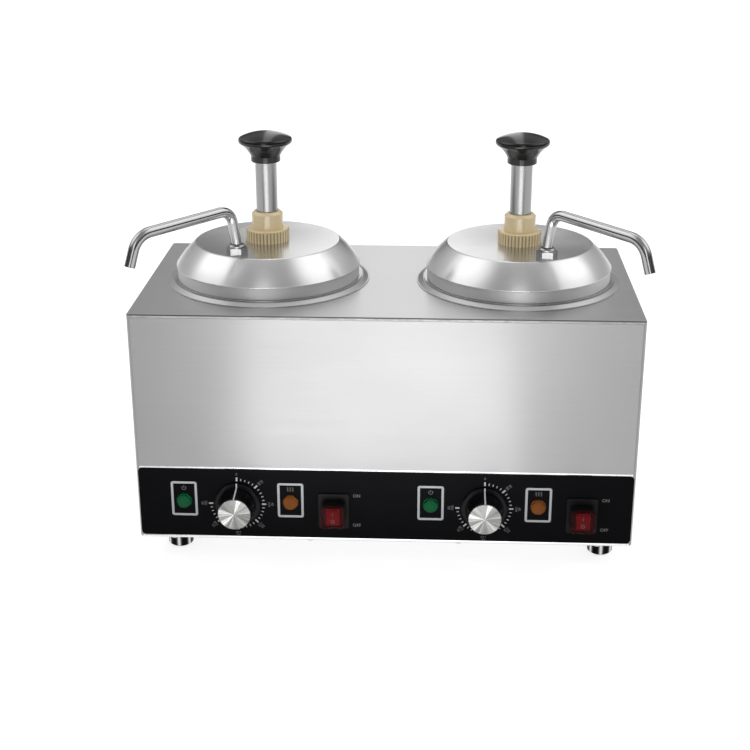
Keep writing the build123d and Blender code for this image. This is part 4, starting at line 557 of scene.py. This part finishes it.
# ---------------------------------------------------------------- fascia printing
LAMP_FRAME = (0.0612, 0.0223, 0.0330, 0.0012, 0.0022)  # middle's height, width, height, corner, line
POWER_Z, POWER_R, POWER_BAR = 0.0722, 0.0019, 0.0025
WAVE_FOOT, WAVE_PITCH, WAVE_SWING, WAVE_RISE = 0.0704, 0.0024, 0.0005, 0.00037
SIGN_LINE = 0.00055
TICKS, TICK_STEP = 31, 9  # degrees; every fifth tick is long
LONG_TICK = (0.0230, 0.0270, 0.0016)  # inner and outer radius, line
SHORT_TICK = (0.0237, 0.0259, 0.0008)
SCALE = ["0", "30\n86", "40\n104", "50\n122", "60\n140", "70\n158", "85\n185"]
SCALE_STEP = 45  # degrees
ZERO_R, SCALE_R, SCALE_SIZE = 0.0302, 0.0312, 0.0036
ON_Z, OFF_Z, WORD_SIZE, WORD_WEIGHT = 0.0670, 0.0365, 0.0044, 0.00008


def on_dial(middle_x, r, degrees):
    a = math.radians(degrees)
    return middle_x + r * math.sin(a), DIAL_Z + r * math.cos(a)


for side in SIDES:
    dial_x = centre(f"{side}_knob_cap").x
    power_x, heat_x = dial_x - LAMP_PITCH, dial_x + LAMP_PITCH
    white, dim = Print(FACE - PROUD), Print(FACE - PROUD)
    for x in (power_x, heat_x):
        white.frame(x, *LAMP_FRAME)
    dim.arc(power_x, POWER_Z, POWER_R, 35, 325, SIGN_LINE)
    dim.ribbon([(power_x, POWER_Z), (power_x, POWER_Z + POWER_BAR)], SIGN_LINE)
    for k in (-1, 0, 1):
        x = heat_x + k * WAVE_PITCH
        wave = [(x + WAVE_SWING * math.sin(t * 1.05), WAVE_FOOT + t * WAVE_RISE) for t in range(13)]
        dim.ribbon(wave, SIGN_LINE)
    for i in range(TICKS):
        inner, outer, width = SHORT_TICK if i % 5 else LONG_TICK
        white.ribbon([on_dial(dial_x, r, i * TICK_STEP) for r in (inner, outer)], width)
    for i, words in enumerate(SCALE):
        turn = SCALE_STEP * i
        dim.text(words, *on_dial(dial_x, SCALE_R if i else ZERO_R, turn), SCALE_SIZE, turn)
    for words, z in (("ON", ON_Z), ("OFF", OFF_Z)):
        dim.text(words, dial_x + WORDS_PITCH, z, WORD_SIZE, 0, WORD_WEIGHT)
    white.make(f"{side}_scale_printing", "casing", M["ink"], "black_fascia")
    dim.make(f"{side}_fine_printing", "casing", M["ink_dim"], "black_fascia")

# ---------------------------------------------------------------- knob pointer, switch marks, return spring
POINTER_HALF = 0.00065  # half the line's width
# over the knob's skirt, up its grip and onto the cap: distance in front of the fascia, and radius
POINTER_PATH = [
    (0.0018, 0.02155),
    (0.00265, 0.02155),
    (0.00365, 0.0206),
    (0.00365, 0.01785),
    (0.0223, 0.01568),
    (0.02285, 0.01515),
]
ROCKER_TILT = math.radians(6)  # at rest
ROCKER_PIVOT_Y = FACE - 0.0095
ROCKER_END = 0.0061  # from the pivot to the ends of the rocker's face
ROCKER_DISH = 0.0009  # how much nearer its middle is
ROCKER_HALF = 0.0075  # half the face's height
MARK_PROUD = 0.00012

for side in SIDES:
    dial_x = centre(f"{side}_knob_cap").x
    verts = []
    for distance, r in POINTER_PATH:
        for x in (-POINTER_HALF, POINTER_HALF):
            verts.append((dial_x + x, FACE - distance - PROUD, DIAL_Z + r + PROUD))
    faces = ladder(len(POINTER_PATH))
    add_mesh(f"{side}_pointer_line", verts, faces, f"{side}_dial", M["line"])

    marks = Print(0)
    marks.ribbon([(0, 0.0020), (0, 0.0052)], 0.0008)
    marks.arc(0, -0.0038, 0.0016, 0, 360, 0.0007, 20)
    verts = []
    for x, _, z in marks.verts:
        y = -(ROCKER_END - ROCKER_DISH + ROCKER_DISH * min(1.0, abs(z) / ROCKER_HALF) + MARK_PROUD)
        tilted_y = y * math.cos(ROCKER_TILT) - z * math.sin(ROCKER_TILT)
        tilted_z = y * math.sin(ROCKER_TILT) + z * math.cos(ROCKER_TILT)
        verts.append((dial_x + SWITCH_PITCH + x, ROCKER_PIVOT_Y + tilted_y, SWITCH_Z + tilted_z))
    add_mesh(f"{side}_rocker_marks", verts, marks.faces, f"{side}_rocker", M["line"])

    # the return spring, which shortens as the plunger goes down, gets a mesh of its own
    spring = f"{side}_return_spring"
    lo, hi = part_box(spring)
    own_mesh(N[spring])

# ---------------------------------------------------------------- bright hems along the fascia's edges
HEM_PROUD = 0.0004
HEM_STEPS = 8


def hem(name, half_length, low, high):
    """A narrow rounded strip standing slightly proud of the casing's front."""
    verts = []
    for i in range(HEM_STEPS + 1):
        t = i / HEM_STEPS
        y = CASE_FRONT - HEM_PROUD * math.sin(math.pi * t)
        verts += [(x, y, low + (high - low) * t) for x in (-half_length, half_length)]
    add_mesh(name, verts, ladder(HEM_STEPS + 1), "casing", M["hem"], smooth=True)


hem("hem_over_fascia", 0.2287, 0.0926, 0.0944)
hem("hem_under_fascia", 0.2292, 0.0207, 0.0229)

# ---------------------------------------------------------------- studio: sky
# brightness of an upright strip of light, by how far east or west of its middle a direction points
FRONT_STRIP = [
    (0.0, 1.0),
    (0.06, 0.97),
    (0.10, 0.80),
    (0.15, 0.42),
    (0.20, 0.14),
    (0.30, 0.05),
    (0.7, 0.04),
    (1.0, 0.03),
]
BACK_STRIP = [
    (0.0, 1.42),
    (0.045, 1.32),
    (0.080, 0.75),
    (0.115, 0.16),
    (0.22, 0.12),
    (0.40, 0.34),
    (0.60, 0.48),
    (1.0, 0.45),
]
FRONT_MIDDLE, FRONT_STRENGTH = -0.013, 2.05
BACK_MIDDLE = -0.03
SKY = 0.45
SIDE_AZIMUTH, SIDE_HEIGHT, SIDE_STRENGTH = 93, 45, 1.3  # degrees from the front, and above the floor
SIDE_INNER, SIDE_OUTER = 8, 32  # degrees from a side light's middle: full within, nothing beyond

world = bpy.data.worlds.new("studio")
bpy.context.scene.world = world
world.use_nodes = True
direction = node(world, "ShaderNodeTexCoord").outputs["Generated"]
east, north, high = axes(world, direction)


def sky_math(op, *values):
    return math_node(world, op, *values)


def smooth_step(value, start, end, low, high):
    return between(world, value, start, end, low, high, "SMOOTHSTEP")


def strip(middle, points):
    n = node(world, "ShaderNodeFloatCurve")
    curve = n.mapping.curves[0]
    for i, at in enumerate(points):
        if i < len(curve.points):
            curve.points[i].location = at
        else:
            curve.points.new(*at)
    n.mapping.update()
    link(world, sky_math("ABSOLUTE", sky_math("SUBTRACT", east, middle)), n.inputs["Value"])
    return n.outputs[0]


def round_light(azimuth, height, inner, outer, strength):
    """Round soft light in the sky: azimuth from the front, positive to the right."""
    a, e = math.radians(azimuth), math.radians(height)
    middle = (math.sin(a) * math.cos(e), -math.cos(a) * math.cos(e), math.sin(e))
    near = vector_node(world, "DOT_PRODUCT", direction, middle)
    return smooth_step(near, math.cos(math.radians(outer)), math.cos(math.radians(inner)), 0, strength)


# a tall soft strip in front, a wide one behind, a pale sky, and a round light on each side
front = sky_math("MULTIPLY", strip(FRONT_MIDDLE, FRONT_STRIP), FRONT_STRENGTH)
front = sky_math("MULTIPLY", front, smooth_step(north, -0.5, 0.1, 1.0, 0.0))
front = sky_math("MULTIPLY", front, smooth_step(high, 0.45, 0.80, 1.0, 0.0))
behind = sky_math("MULTIPLY", strip(BACK_MIDDLE, BACK_STRIP), smooth_step(north, 0.0, 0.35, 0.0, 1.0))
total = sky_math("ADD", sky_math("ADD", front, behind), smooth_step(high, 0.15, 0.75, 0.0, SKY))
for hand in (-1, 1):
    light = round_light(hand * SIDE_AZIMUTH, SIDE_HEIGHT, SIDE_INNER, SIDE_OUTER, SIDE_STRENGTH)
    total = sky_math("ADD", total, light)
# the camera sees the sky as the same white as the floor
rays = node(world, "ShaderNodeLightPath").outputs
seen = sky_math("MAXIMUM", rays["Is Camera Ray"], rays["Is Transmission Ray"])
background = world.node_tree.nodes["Background"]
background.inputs["Color"].default_value = (1, 1, 1, 1)
link(world, sky_math("MAXIMUM", total, seen), background.inputs["Strength"])

# ---------------------------------------------------------------- studio: floor
FLOOR_GREY = 0.42  # lit by the lamps, so that the object's shadow shows
FLOOR_GLOW = 0.80  # added for the camera and for what mirrors the floor or lets it through
FLOOR_REACH = 14

floor_white = bpy.data.materials.new("floor_white")
floor_white.use_nodes = True
floor_white.node_tree.nodes.clear()
lit = node(floor_white, "ShaderNodeBsdfDiffuse")
lit.inputs["Color"].default_value = (*grey(FLOOR_GREY), 1)
rays = node(floor_white, "ShaderNodeLightPath").outputs
seen = math_node(floor_white, "MAXIMUM", rays["Is Glossy Ray"], rays["Is Transmission Ray"])
seen = math_node(floor_white, "MAXIMUM", rays["Is Camera Ray"], seen)
glow = node(floor_white, "ShaderNodeEmission")
link(floor_white, math_node(floor_white, "MULTIPLY", seen, FLOOR_GLOW), glow.inputs["Strength"])
both = node(floor_white, "ShaderNodeAddShader")
link(floor_white, lit.outputs[0], both.inputs[0])
link(floor_white, glow.outputs[0], both.inputs[1])
link(floor_white, both.outputs[0], node(floor_white, "ShaderNodeOutputMaterial").inputs["Surface"])

floor_mesh = bpy.data.meshes.new("floor")
corners = [(x * FLOOR_REACH, y * FLOOR_REACH, 0) for x, y in ((-1, -1), (1, -1), (1, 1), (-1, 1))]
floor_mesh.from_pydata(corners, [], [(0, 1, 2, 3)])
floor_mesh.materials.append(floor_white)
floor = bpy.data.objects.new("floor", floor_mesh)
bpy.context.scene.collection.objects.link(floor)


# ---------------------------------------------------------------- studio: soft boxes
def softbox(name, at, target, width, height, watts):
    data = bpy.data.lights.new(name, "AREA")
    data.shape, data.size, data.size_y, data.energy = "RECTANGLE", width, height, watts
    ob = bpy.data.objects.new(name, data)
    ob.location = at
    ob.rotation_euler = (Vector(target) - Vector(at)).to_track_quat("-Z", "Y").to_euler()
    bpy.context.scene.collection.objects.link(ob)


softbox("top_box", (0, 0.35, 1.5), (0, 0, 0), 1.2, 0.6, 1.0)
# two cards of light lying on the floor in front, facing up
softbox("near_card", (-0.02, -0.42, 0.004), (-0.02, -0.42, 1.0), 0.31, 0.26, 1.25)
softbox("far_card", (-0.02, -1.30, 0.004), (-0.02, -1.30, 1.0), 0.80, 0.60, 7.5)

# ---------------------------------------------------------------- camera, fitted to the photograph
camera_data = bpy.data.cameras.new("camera")
camera_data.sensor_width, camera_data.lens = 36.0, 67.25
camera = bpy.data.objects.new("camera", camera_data)
camera.location = (0.04725, -1.29464, 0.64104)
camera.rotation_euler = (math.radians(68.98), math.radians(0.08), math.radians(2.68))
bpy.context.scene.collection.objects.link(camera)
bpy.context.scene.camera = camera
bpy.context.scene.view_settings.view_transform = "Standard"
